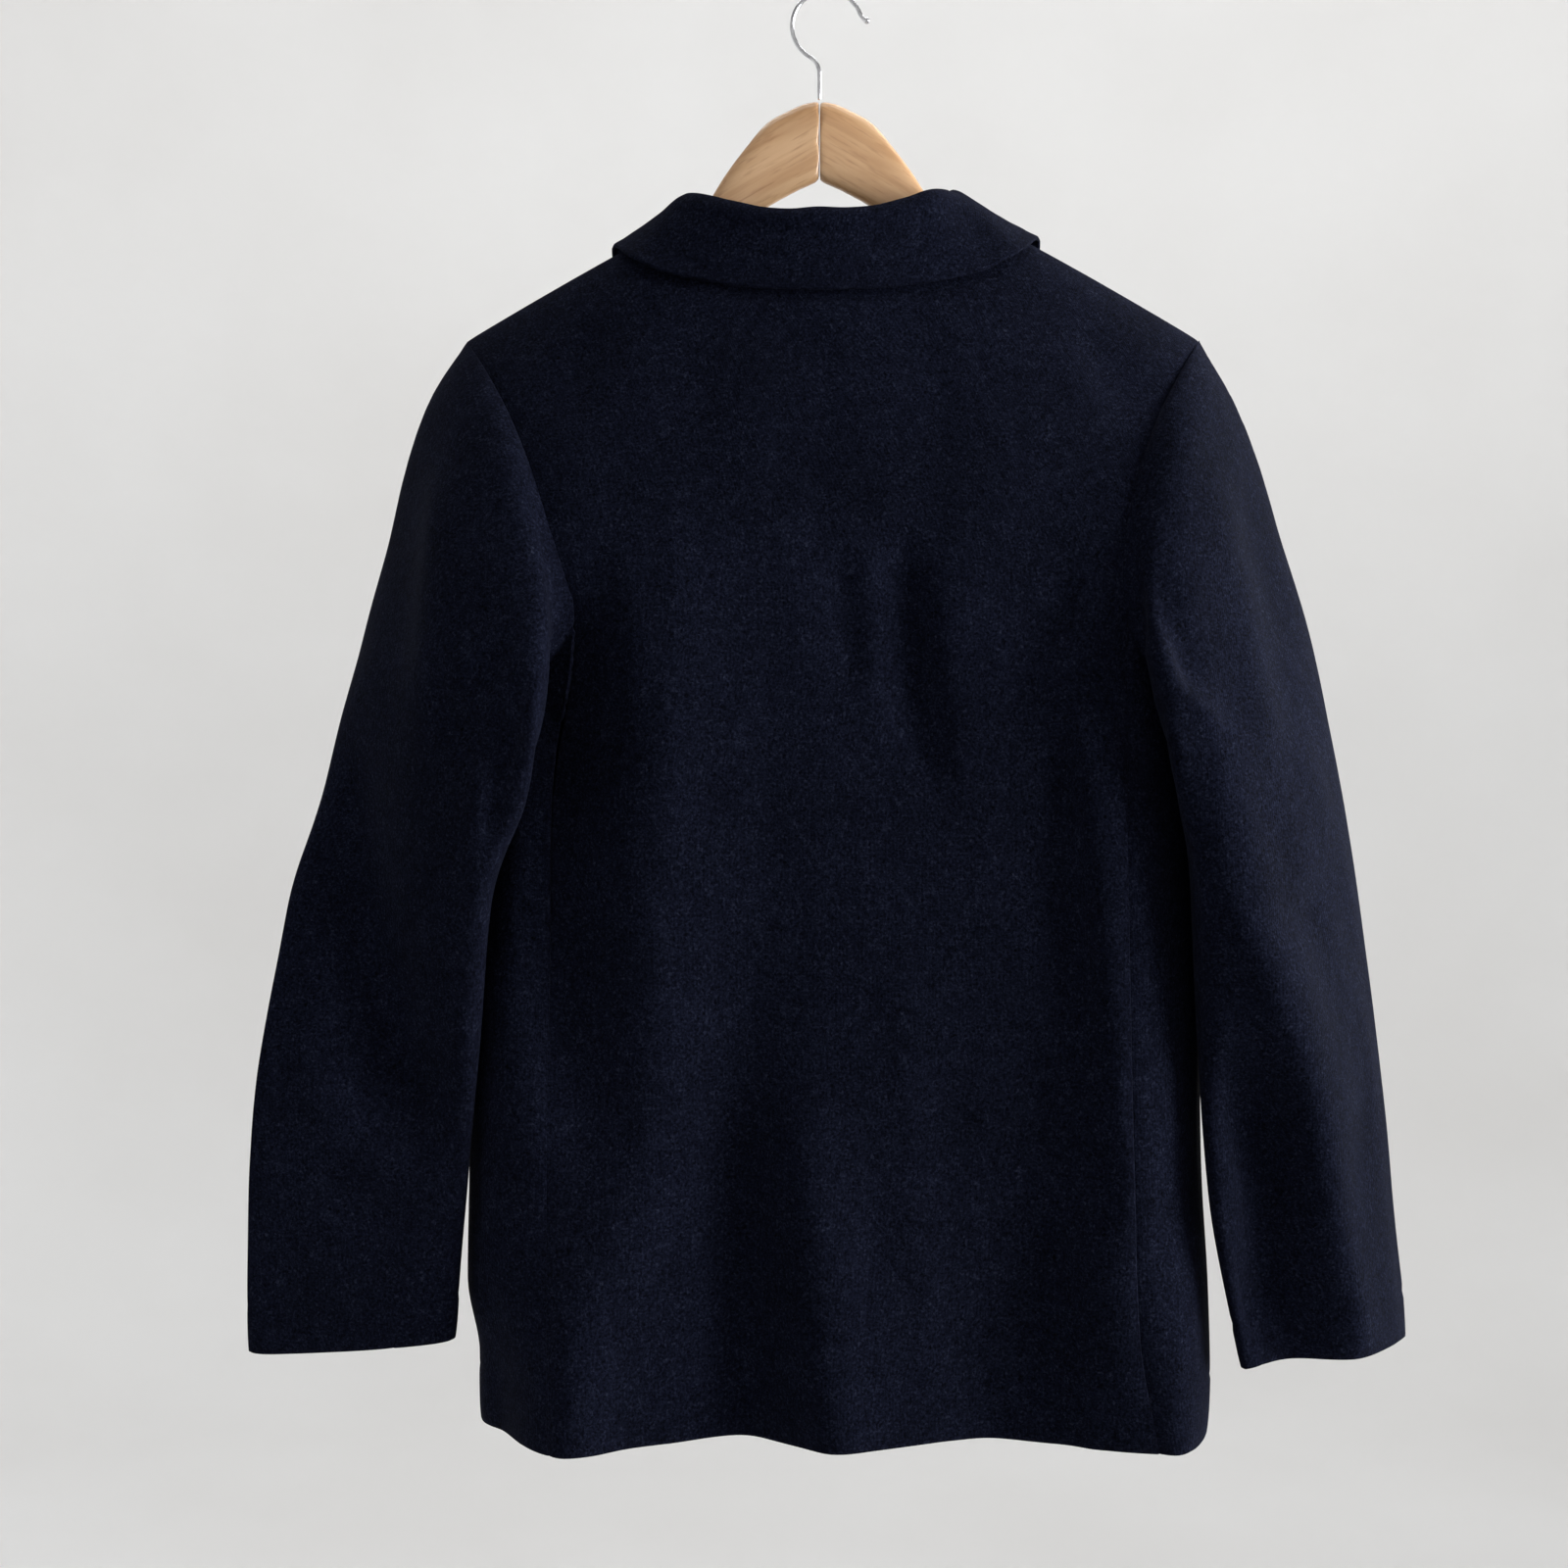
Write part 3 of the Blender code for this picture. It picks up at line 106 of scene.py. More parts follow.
# ---------------------------------------------------------------- body
# One row per level: left and right side lines (x, y), ends of the flat part
# of the back and of the front, depth of the back and of the front.
BODY = table("z xl yl xr yr bl br yb fl fr yf", [
    (-0.843, -0.206, 0.004, 0.2215, -0.012, -0.150, 0.182, -0.066, -0.160, 0.165, 0.046),
    (-0.805, -0.2055, 0.003, 0.2230, -0.011, -0.149, 0.180, -0.066, -0.160, 0.165, 0.0465),
    (-0.760, -0.2125, 0.002, 0.222, -0.010, -0.148, 0.178, -0.066, -0.160, 0.165, 0.047),
    (-0.660, -0.2125, 0.000, 0.218, -0.008, -0.142, 0.167, -0.065, -0.155, 0.160, 0.049),
    (-0.540, -0.2020, -0.002, 0.2180, -0.006, -0.134, 0.152, -0.065, -0.150, 0.155, 0.051),
    (-0.425, -0.193, -0.004, 0.208, -0.006, -0.126, 0.142, -0.065, -0.145, 0.150, 0.050),
    (-0.360, -0.225, -0.002, 0.235, -0.004, -0.124, 0.136, -0.065, -0.142, 0.146, 0.048),
    (-0.280, -0.262, 0.004, 0.270, 0.002, -0.120, 0.130, -0.062, -0.140, 0.145, 0.045),
    (-0.190, -0.275, 0.010, 0.282, 0.008, -0.120, 0.130, -0.058, -0.140, 0.145, 0.042),
])

# The seam between back and front runs down behind each side.
SIDE_SEAM = table("z left right", [
    (-0.843, -0.158, 0.182),
    (-0.776, -0.159, 0.172),
    (-0.600, -0.160, 0.167),
    (-0.500, -0.160, 0.166),
    (-0.440, -0.162, 0.168),
])

# Armhole: top (shoulder tip), bottom, how far the back and the front half
# swing in towards the neck, how far the middle drops, and how much further in
# the lower part of the back half reaches.
ARMHOLE = {
    -1: dict(top=(-0.2180, -0.2030), low=(-0.1920, -0.4250), back=0.041, front=0.030, drop=0.010, reach=0.023),
    1: dict(top=(0.2250, -0.2030), low=(0.2050, -0.4250), back=0.044, front=0.034, drop=0.012, reach=0.009),
}

# The largest folds of the back as seen from behind: height towards the viewer
# (negative = trough), reach to the left and right, fade at the upper and lower
# end, and the path as (z, x) from the bottom up.
BACK_FOLDS = (
    ("trough on the left seam", -0.016, 0.023, 0.040, 0.150, 0.120,
     ((-0.740, -0.130), (-0.643, -0.142), (-0.582, -0.156), (-0.499, -0.159), (-0.416, -0.157), (-0.320, -0.150))),
    ("left ridge", 0.010, 0.038, 0.042, 0.160, 0.010,
     ((-0.865, -0.149), (-0.749, -0.131), (-0.665, -0.106), (-0.582, -0.097), (-0.499, -0.099), (-0.416, -0.097), (-0.300, -0.085))),
    ("centre trough", -0.014, 0.034, 0.030, 0.320, 0.010,
     ((-0.865, -0.055), (-0.749, -0.048), (-0.665, -0.052), (-0.582, -0.052), (-0.499, -0.045), (-0.380, -0.031))),
    ("centre ridge", 0.012, 0.028, 0.038, 0.220, 0.010,
     ((-0.865, 0.008), (-0.804, -0.001), (-0.738, -0.012), (-0.665, -0.021), (-0.560, -0.028))),
    ("right trough", -0.012, 0.036, 0.030, 0.200, 0.010,
     ((-0.865, 0.086), (-0.804, 0.104), (-0.749, 0.112), (-0.693, 0.113), (-0.580, 0.118))),
    ("right seam ridge", 0.010, 0.028, 0.032, 0.140, 0.010,
     ((-0.865, 0.184), (-0.776, 0.169), (-0.693, 0.166), (-0.582, 0.166), (-0.499, 0.164), (-0.400, 0.155))),
    ("blade trough", -0.004, 0.026, 0.018, 0.080, 0.080,
     ((-0.500, 0.064), (-0.452, 0.056), (-0.405, 0.048), (-0.310, 0.043))),
    ("hem ridge on the left", 0.013, 0.020, 0.026, 0.110, 0.010,
     ((-0.870, -0.148), (-0.800, -0.144), (-0.720, -0.136))),
    ("hem hollow on the left", -0.020, 0.014, 0.014, 0.110, 0.010,
     ((-0.870, -0.193), (-0.800, -0.195), (-0.730, -0.198))),
    ("hem ridge on the right", 0.012, 0.022, 0.020, 0.110, 0.010,
     ((-0.870, 0.203), (-0.800, 0.199), (-0.720, 0.191))),
)


def relief(folds, x, z):
    """Height towards the viewer of a set of folds."""
    total = np.zeros(np.broadcast(x, z).shape)
    for _, height, left, right, fade_top, fade_low, path in folds:
        run = table("z x", path)
        d = x - at(run, "z", "x", z)
        reach = np.where(d < 0, left, right)
        ends = (smooth((run["z"][-1] - z) / fade_top)
                * smooth((z - run["z"][0]) / fade_low))
        total = total + height * ends * np.exp(-(d / reach) ** 2)
    return total


def ridge_z(x):
    """Height of the shoulder line over x."""
    run = np.sqrt((x - CENTRE_X) ** 2 + 0.0025) - 0.0901
    left, right = -0.1265 - 0.560 * run, -0.1270 - 0.552 * run
    return left + (right - left) * smooth((x + 0.05) / 0.10)


def ridge_y(x):
    """The shoulders curve towards the front, as the hanger does."""
    return 0.020 * (x / 0.22) ** 2


def close_up(x, z):
    """1 on the body, falling to 0 at the shoulder line."""
    w = np.clip((z - CLOSE_Z) / (ridge_z(x) - CLOSE_Z), 0.0, 1.0)
    return (1 - w ** 1.6) ** (1 / 1.7)


def side_of(k, z):
    left = np.asarray(k) < 0
    pick = lambda a, b: np.where(left, at(BODY, "z", a, z), at(BODY, "z", b, z))
    return pick("xl", "xr"), pick("yl", "yr"), pick("bl", "br"), pick("fl", "fr")


def body(k, z):
    """Outer face of the body at level z. k runs round it: 0 centre back,
    1 end of the flat back, 2 side, 3 end of the flat front, 4 centre front;
    negative on the wearer's left."""
    k, z = np.broadcast_arrays(np.asarray(k, float), np.asarray(z, float))
    xs, ys, xb, xf = side_of(k, z)
    yb, yf = at(BODY, "z", "yb", z), at(BODY, "z", "yf", z)
    q, p = np.abs(k), 2 / CORNER
    back_turn = np.clip(q - 1, 0, 1) * math.pi / 2
    front_turn = np.clip(q - 2, 0, 1) * math.pi / 2
    x_back = CENTRE_X + (xb - CENTRE_X) * np.clip(q, 0, 1) + (xs - xb) * np.sin(back_turn) ** p
    y_back = ys + (yb - ys) * np.cos(back_turn) ** p
    x_front = xf + (xs - xf) * np.cos(front_turn) ** p + (CENTRE_X - xf) * np.clip(q - 3, 0, 2)
    y_front = ys + (yf - ys) * np.sin(front_turn) ** p
    x = np.where(q <= 2, x_back, x_front)
    y_front = y_front + 0.8 * ridge_y(x) * smooth((z - CLOSE_Z) / 0.15)
    y = np.where(q <= 2, y_back, y_front)
    y = y - np.where(q <= 2, relief(BACK_FOLDS, x, z) * smooth((2.0 - q) / 0.9), 0.0)
    y = ridge_y(x) + (y - ridge_y(x)) * close_up(x, z)
    return np.stack([x, y, z], axis=-1)


def body_normal(k, z):
    """Outward direction of the body's face."""
    k, z = np.broadcast_arrays(np.asarray(k, float), np.asarray(z, float))
    return unit(np.cross(body(k + 0.02, z) - body(k - 0.02, z),
                         body(k, z + 0.0008) - body(k, z - 0.0008)))


def back_k(x, z):
    """k of a point of the back with this x."""
    x, z = np.broadcast_arrays(np.asarray(x, float), np.asarray(z, float))
    side = np.where(x < CENTRE_X, -1.0, 1.0)
    xs, ys, xb, xf = side_of(side, z)
    flat = (x - CENTRE_X) / (xb - CENTRE_X)
    s = np.clip((x - xb) / (xs - xb), 0.0, 0.9999)
    return side * np.where(flat <= 1, flat, 1 + np.arcsin(s ** (CORNER / 2)) * 2 / math.pi)


def front_k(x, z, side):
    """k of a point of the front with this x; past the centre it runs on."""
    x, z = np.broadcast_arrays(np.asarray(x, float), np.asarray(z, float))
    xs, ys, xb, xf = side_of(side, z)
    flat = (x - xf) / (CENTRE_X - xf)
    s = np.clip((x - xf) / (xs - xf), 0.0, 0.9999)
    return side * np.where(flat >= 0, 3 + flat, 2 + np.arccos(s ** (CORNER / 2)) * 2 / math.pi)


def face_point(x, z, back):
    """Point of the back or front face over (x, z), below the shoulder line."""
    side = np.where(np.asarray(x) < CENTRE_X, -1, 1)
    return np.where(np.asarray(back)[..., None], body(back_k(x, z), z), body(front_k(x, z, side), z))


def face_normal(x, z, back):
    e = 0.0006
    dx = face_point(x + e, z, back) - face_point(x - e, z, back)
    dz = face_point(x, z, back) - face_point(x, z - e, back)
    n = np.cross(dx, dz)
    return unit(np.where(np.asarray(back)[..., None], n, -n))


def armhole_xz(side, a):
    hole = ARMHOLE[side]
    top, low = hole["top"], hole["low"]
    swing = np.where(np.sin(a) >= 0, hole["back"], hole["front"])
    s2 = np.sin(a) ** 2
    around = (np.asarray(a) % (2 * math.pi)) - math.radians(126)
    inward = swing * s2 + hole["reach"] * np.exp(-(around / 0.50) ** 2)
    x = (top[0] + low[0]) / 2 + (top[0] - low[0]) / 2 * np.cos(a) - side * inward
    z = (top[1] + low[1]) / 2 + (top[1] - low[1]) / 2 * np.cos(a) - hole["drop"] * s2
    return x, z


def armhole_k(side, a):
    x, z = armhole_xz(side, a)
    return np.where(np.sin(a) >= 0, back_k(x, z), front_k(x, z, side))


def armhole(side, a):
    """Armhole edge. a: 0 shoulder tip, 90 back, 180 lowest point, 270 front."""
    x, z = armhole_xz(side, a)
    return body(armhole_k(side, a), z)


def armhole_normal(side, a):
    """Both cloths turn into the armhole seam on this common direction."""
    a = np.asarray(a, float)
    x, z = armhole_xz(side, a)
    n = body_normal(armhole_k(side, a), np.minimum(z, ridge_z(x) - 0.004))
    low = smooth((-np.cos(a) - 0.2) / 0.8)[..., None]
    tip = np.exp(-(np.sin(a / 2) / 0.11) ** 2)[..., None]
    n = n * (1 - 0.85 * low) + low * np.array([0, 0, -1.2])
    return unit(n * (1 - tip) + tip * np.array([0.4 * side, 0, 1.0]))


def upper_rows(count):
    """Shares of the way from the side seams up to the shoulder line."""
    return 1 - (1 - np.linspace(0, 1, count + 1)) ** UPPER_STEP


# ---------------------------------------------------------------- sleeves
# One row per ring from armhole (t = 0) to cuff (t = 1): the outer, back, inner
# and front point of the ring.
SLEEVE = {
    -1: table("t ox oy oz bx by bz ix iy iz fx fy fz", [
        (0.00, -0.2180, 0.020, -0.203, -0.172, -0.060, -0.325, -0.196, -0.004, -0.427, -0.182, 0.046, -0.325),
        (0.10, -0.2490, 0.020, -0.249, -0.162, -0.085, -0.368, -0.178, -0.010, -0.438, -0.204, 0.054, -0.360),
        (0.22, -0.2680, 0.018, -0.312, -0.172, -0.092, -0.402, -0.184, -0.034, -0.462, -0.222, 0.052, -0.400),
        (0.36, -0.2835, 0.012, -0.382, -0.198, -0.082, -0.440, -0.180, -0.062, -0.489, -0.238, 0.042, -0.448),
        (0.52, -0.2965, -0.006, -0.468, -0.256, -0.053, -0.500, -0.187, -0.077, -0.534, -0.252, 0.034, -0.520),
        (0.68, -0.3125, -0.030, -0.562, -0.278, -0.044, -0.585, -0.193, -0.067, -0.605, -0.264, 0.028, -0.600),
        (0.84, -0.3300, -0.038, -0.675, -0.288, -0.042, -0.690, -0.204, -0.055, -0.700, -0.272, 0.024, -0.700),
        (1.00, -0.3350, -0.030, -0.800, -0.290, -0.038, -0.799, -0.213, -0.042, -0.791, -0.278, 0.022, -0.798),
    ]),
    1: table("t ox oy oz bx by bz ix iy iz fx fy fz", [
        (0.00, 0.2250, 0.020, -0.203, 0.184, -0.060, -0.325, 0.209, -0.004, -0.427, 0.192, 0.046, -0.325),
        (0.10, 0.2550, 0.020, -0.251, 0.181, -0.080, -0.362, 0.198, -0.008, -0.434, 0.212, 0.052, -0.358),
        (0.22, 0.2765, 0.018, -0.308, 0.193, -0.087, -0.396, 0.205, -0.030, -0.455, 0.231, 0.050, -0.398),
        (0.36, 0.2965, 0.014, -0.382, 0.216, -0.082, -0.436, 0.2045, -0.056, -0.485, 0.246, 0.041, -0.446),
        (0.52, 0.3090, 0.010, -0.468, 0.246, -0.075, -0.500, 0.2050, -0.065, -0.534, 0.256, 0.031, -0.520),
        (0.68, 0.3220, 0.006, -0.562, 0.260, -0.068, -0.590, 0.2080, -0.064, -0.605, 0.264, 0.022, -0.600),
        (0.84, 0.3320, 0.002, -0.675, 0.280, -0.054, -0.690, 0.2130, -0.070, -0.700, 0.272, 0.014, -0.700),
        (1.00, 0.3385, 0.000, -0.798, 0.300, -0.050, -0.795, 0.2310, -0.062, -0.803, 0.288, 0.012, -0.800),
    ]),
}

# Angle of the two sleeve seams on the ring (degrees): hind seam, front seam.
SLEEVE_SEAM = {
    -1: table("t hind front", [(0.0, 120, 236), (0.12, 140, 250), (0.25, 158, 254), (0.7, 172, 254), (0.85, 155, 250), (1.0, 126, 250)]),
    1: table("t hind front", [(0.0, 120, 236), (0.12, 138, 250), (0.25, 152, 254), (0.7, 160, 254), (0.85, 156, 250), (1.0, 150, 250)]),
}

SLEEVE_FOLDS = {
    -1: (
        ("upper arm crest", 0.010, 0.018, 0.030, 0.060, 0.090,
         ((-0.490, -0.224), (-0.400, -0.226), (-0.340, -0.224), (-0.250, -0.220))),
        ("forearm valley", -0.017, 0.030, 0.027, 0.100, 0.080,
         ((-0.710, -0.240), (-0.674, -0.246), (-0.608, -0.258), (-0.551, -0.269), (-0.452, -0.283), (-0.400, -0.286))),
    ),
    1: (
        ("long ridge", 0.014, 0.020, 0.032, 0.140, 0.020,
         ((-0.815, 0.306), (-0.713, 0.286), (-0.657, 0.275), (-0.608, 0.258), (-0.569, 0.241), (-0.470, 0.222))),
        ("forearm valley", -0.012, 0.018, 0.018, 0.080, 0.020,
         ((-0.830, 0.264), (-0.742, 0.2480), (-0.699, 0.2450), (-0.657, 0.2370), (-0.600, 0.2220))),
    ),
}


def soft_positive(s, e=0.25):
    return (s + np.sqrt(s * s + e * e)) / (1 + math.sqrt(1 + e * e))


def beside_body(p, side, gap):
    """Keep a point of the sleeve on the outer side of the body."""
    x, y, z = p[..., 0], p[..., 1], p[..., 2]
    level = np.clip(z, HEM_Z, ARMHOLE[side]["low"][1])
    xs, ys, xb, xf = side_of(side * np.ones_like(z), level)
    yb, yf = at(BODY, "z", "yb", level), at(BODY, "z", "yf", level)
    ridge = np.maximum(relief(BACK_FOLDS, x, level), 0.0)
    s_back = np.clip((ys - y - ridge) / (ys - yb), 0, 1) ** (CORNER / 2)
    s_front = np.clip((y - ys) / (yf - ys), 0, 1) ** (CORNER / 2)
    wall = np.where(y < ys,
                    xb + (xs - xb) * np.sqrt(1 - s_back ** 2) ** (2 / CORNER),
                    xf + (xs - xf) * np.sqrt(1 - s_front ** 2) ** (2 / CORNER)) + side * gap
    d = side * (x - wall)
    out = (d + np.sqrt(d * d + 0.003 ** 2)) / 2
    return np.stack([wall + side * out, y, z], axis=-1)


def sleeve(side, a, t):
    """Outer face of a sleeve. a runs round the ring as on the armhole."""
    a, t = np.broadcast_arrays(np.asarray(a, float), np.asarray(t, float))
    tab = SLEEVE[side]
    point = lambda c: np.stack([at(tab, "t", c + axis, t) for axis in "xyz"], axis=-1)
    o, b, i, f = point("o"), point("b"), point("i"), point("f")
    mid, half = (o + i) / 2, (o - i) / 2
    ca, sa = np.cos(a), np.sin(a)
    p = (mid + half * ca[..., None] + (b - mid) * soft_positive(sa)[..., None]
         + (f - mid) * soft_positive(-sa)[..., None])
    p[..., 1] -= relief(SLEEVE_FOLDS[side], p[..., 0], p[..., 2]) * smooth(sa / 0.7 + 0.5) * smooth(t / 0.2)
    s = np.clip(t / 0.20, 0, 1)
    ease = (1 - (1 - s) ** 2)[..., None]
    p = armhole(side, a) * (1 - ease) + p * ease
    # the cloth first stands off the armhole seam, most at its lowest part
    off = 0.010 * smooth((0.25 - ca) / 0.8) * (1 - np.exp(-t / 0.03)) * (1 - smooth((t - 0.10) / 0.3))
    away = unit(np.stack([side * (0.45 + 0.55 * ca * ca), -0.8 * sa, 0.0 * sa], axis=-1))
    p = p + off[..., None] * away
    low = smooth(t / 0.04) * smooth((ARMHOLE[side]["low"][1] + 0.030 - p[..., 2]) / 0.02)
    return p + (beside_body(p, side, 0.0045) - p) * low[..., None]


def sleeve_normal(side, a, t):
    a, t = np.broadcast_arrays(np.asarray(a, float), np.asarray(t, float))
    da = sleeve(side, a + 0.03, t) - sleeve(side, a - 0.03, t)
    t0, t1 = np.clip(t - 0.004, 0, 1), np.clip(t + 0.004, 0, 1)
    return unit(side * np.cross(da, sleeve(side, a, t1) - sleeve(side, a, t0)))


def grid_normals(p):
    return unit(np.cross(np.gradient(p, axis=0), np.gradient(p, axis=1)))


UP_DIR = np.array([0.0, 0.0, 1.0])


# ---------------------------------------------------------------- cut edges
def neckline_z(x):
    s = np.clip(np.abs(x - NECK_X) / NECK_HALF, 0, 1)
    edge = ridge_z(NECK_X + np.sign(x - NECK_X) * NECK_HALF)
    return NECK_BACK_Z + (edge - NECK_BACK_Z) * s ** 2.4


def top_z(x):
    return np.where(np.abs(x - NECK_X) < NECK_HALF, neckline_z(x), ridge_z(x))


def seam_x(side, z):
    """Side-back seam, led into the armhole at its upper end."""
    x_join, z_join = armhole_xz(side, np.array(JOIN))
    base = at(SIDE_SEAM, "z", "left" if side < 0 else "right", z)
    return base + (x_join - base) * smooth((z + 0.50) / (z_join + 0.50))


def front_edge_x(side, z):
    """Front edge up to the break, then the roll line of the lapel."""
    straight = CENTRE_X - side * OVERLAP
    top = NECK_X + side * NECK_HALF
    s = np.clip((z - BREAK_Z) / (ridge_z(top) - BREAK_Z), 0, 1)
    return straight + (top - straight) * s


def overlap_lift(side, x, z):
    """The wearer's left front lies over the right one."""
    if side > 0:
        return np.zeros(np.broadcast(x, z).shape)
    reach = smooth((x - (CENTRE_X - 0.045)) / 0.024)
    return (CLOTH + 0.0014) * reach * smooth((BREAK_Z + 0.080 - z) / 0.02)


# ---------------------------------------------------------------- lapels
# Width of the turned-out lapel from the break (v = 0) to the gorge (v = 1).
LAPEL = table("v width", [(0.0, 0.007), (0.12, 0.026), (0.35, 0.048), (0.60, 0.062), (0.85, 0.070), (1.0, 0.067)])
LAPEL_START = {-1: BREAK_Z + 0.006, 1: BREAK_Z + 0.078}
ROLL_R = 0.00145


def edge_frame(side, z):
    """Point on a front's neck edge, its outward direction, and the direction
    across the edge into the neck opening."""
    x = front_edge_x(side, z)
    back = np.zeros(np.shape(z), bool)
    p, n = face_point(x, z, back), face_normal(x, z, back)
    p = p + n * overlap_lift(side, x, z)[..., None]
    e = 0.002
    along = face_point(front_edge_x(side, z + e), z + e, back) - face_point(front_edge_x(side, z - e), z - e, back)
    return p, n, unit(np.cross(unit(along), n) * side)


# ---------------------------------------------------------------- collar
# From centre back (u = 0) over the shoulder (0.5) to the front end (1): the
# direction and height of the stand, the roll's radius, and the lower edge of
# the fall: distance from the neck's centre line, height at the back, and drop
# below the shoulder line further forward.
COLLAR = table("u ex ey ez height roll edge_x edge_z drop", [
    (0.00, 0.00, -0.14, 0.99, 0.0268, 0.0034, 0.0000, -0.1852, 0.0806),
    (0.10, 0.02, -0.14, 0.99, 0.0245, 0.0034, 0.0270, -0.1843, 0.0740),
    (0.21, 0.04, -0.14, 0.99, 0.0215, 0.0033, 0.0540, -0.1812, 0.0667),
    (0.30, 0.08, -0.12, 0.99, 0.0175, 0.0032, 0.0750, -0.1768, 0.0540),
    (0.38, 0.15, -0.10, 0.98, 0.0135, 0.0031, 0.0950, -0.1705, 0.0360),
    (0.44, 0.24, -0.05, 0.96, 0.0110, 0.0031, 0.1120, -0.1640, 0.0170),
    (0.50, 0.35, 0.00, 0.94, 0.0095, 0.0030, 0.1235, -0.1580, 0.0000),
    (0.56, 0.25, 0.12, 0.95, 0.0088, 0.0028, 0.1245, -0.1650, 0.0120),
    (0.64, 0.05, 0.25, 0.94, 0.0080, 0.0026, 0.1255, -0.1720, 0.0225),
    (0.80, -0.55, 0.20, 0.75, 0.0060, 0.0020, 0.1250, -0.1840, 0.0305),
    (1.00, -0.93, 0.10, 0.34, 0.0045, 0.0016, 0.1180, -0.1930, 0.0395),
])
COLLAR_WIDE = {-1: 0.98, 1: 1.05}   # the collar sits a little to the right


def along(line, axis, value):
    order = np.argsort(line[:, axis])
    return np.array([np.interp(value, line[order, axis], line[order, c]) for c in range(3)])


# sections of the collar: on the back's columns, then down the front edge
COLLAR_U = ([math.asin(s) / math.pi for s in (0.0, 0.2, 0.4, 0.6, 0.8, 0.92)]
            + [0.44, 0.50, 0.56, 0.64, 0.75, 0.87, 1.0])


def off_shell(q, clear):
    """Push a point outwards until it clears the body by a distance."""
    for _ in range(3):
        x = q[..., 0]
        z = np.minimum(q[..., 2], ridge_z(x) - 0.0012)
        back = q[..., 1] < ridge_y(x)
        foot, n = face_point(x, z, back), face_normal(x, z, back)
        d = np.sum((q - foot) * n, axis=-1)
        q = q + n * np.maximum(clear - d, 0)[..., None]
    return q


def collar_section(side, u):
    """Mid line of the collar across its width at u."""
    c = {name: float(at(COLLAR, "u", name, u)) for name in COLLAR}
    turn = float(smooth((u - 0.5) / 0.2))
    if u <= 0.5:
        x = NECK_X + side * NECK_HALF * math.sin(math.pi * u)
        seam = along(NECK_LINE, 0, x) + np.array([0, CLOTH / 2 * min(1.0, (0.5 - u) / 0.1), 0.0012])
    else:
        top = FRONT_LINE[side][-1, 2]
        z = top + (GORGE_Z - top) * (u - 0.5) / 0.5
        p, n, into = edge_frame(side, np.array(min(z, top - 0.002)))
        if side * into[0] > 0:
            into = -into
        seam = along(FRONT_LINE[side], 2, z) - n * CLOTH / 2 * turn + into * 0.0012 * turn
        seam = seam + np.array([-0.0010 * side, 0, 0.0012]) * (1 - turn)
    e1 = unit(np.array([side * c["ex"], c["ey"], c["ez"]]))
    height = c["height"] * (1 if side < 0 else 1 - 0.55 * math.exp(-((u - 0.44) / 0.09) ** 2))
    top = seam + e1 * height
    ex = NECK_X + side * c["edge_x"] * (1 + (COLLAR_WIDE[side] - 1) * float(smooth(u / 0.4)))
    drop = c["drop"] * (1 + 0.2 * float(smooth((u - 0.6) / 0.3)) * (side > 0))
    ez = float(ridge_z(np.array(ex))) - max(drop, 0.0006)
    ez = c["edge_z"] + (ez - c["edge_z"]) * float(smooth((u - 0.33) / 0.1))
    back = np.array(u < 0.5)
    lift = COLLAR_LIFT + 0.0024 * math.exp(-((u - 0.5) / 0.12) ** 2)
    edge = face_point(np.array(ex), np.array(ez), back) + face_normal(np.array(ex), np.array(ez), back) * lift
    edge = edge + np.array([0, 0, (lift - COLLAR_LIFT) * 1.2])
    toward = edge - top
    e2 = unit(toward - e1 * np.dot(toward, e1))
    r = c["roll"]
    centre = top - e1 * r + e2 * r
    fall = unit(toward)
    end = math.atan2(np.dot(fall, e2), np.dot(fall, e1))
    points = [seam, seam + (top - e1 * r - seam) * 0.55]
    for s in (0.0, 0.33, 0.67, 1.0):
        points.append(centre - e2 * r * math.cos(end * s) + e1 * r * math.sin(end * s))
    last = points[-1]
    for s in (0.3, 0.65, 1.0):
        q = last + (edge - last) * s
        if s < 1:
            q = off_shell(q, lift + 0.0006)
        points.append(q)
    return np.array(points)


# ---------------------------------------------------------------- fine grids
# Cut edges get close rows so that each seam rolls in softly.
EDGE = np.array([0.0, 0.0006, 0.0013, 0.0022, 0.0034, 0.0052, 0.0078])
STEP = 0.0034           # spacing of the fine mesh


def shares(length, start=True, end=True, step=STEP):
    """Fractions along a length, close together at its cut edges."""
    a = EDGE / length if start else np.array([0.0])
    b = 1 - EDGE[::-1] / length if end else np.array([1.0])
    count = max(2, int(round((b[0] - a[-1]) * length / step)))
    return np.concatenate([a, np.linspace(a[-1], b[0], count + 1)[1:-1], b])


def arc(p, axis):
    """Distance along the grid from its first row or column."""
    d = np.linalg.norm(np.diff(p, axis=axis), axis=-1)
    pad = np.zeros_like(np.take(d, [0], axis=axis))
    return np.concatenate([pad, np.cumsum(d, axis=axis)], axis=axis)


def roll(d, depth=0.0014, wide=0.0030):
    """How far cloth dips towards a seam at distance d."""
    return -depth * np.exp(-np.abs(d / wide) ** 1.3)


def ripple(u, v, seed, tall=2.2):
    """Soft uneven waves of the cloth, about one high at most."""
    rng = np.random.RandomState(seed)
    total = np.zeros(np.broadcast(u, v).shape)
    for _ in range(14):
        long = rng.uniform(0.022, 0.085)
        turn = rng.uniform(0, 2 * math.pi)
        ku, kv = math.cos(turn) * 2 * math.pi / long, math.sin(turn) * 2 * math.pi / long / tall
        total = total + math.sqrt(long / 0.085) * np.sin(ku * u + kv * v + rng.uniform(0, 6.28))
    return total / 5.0


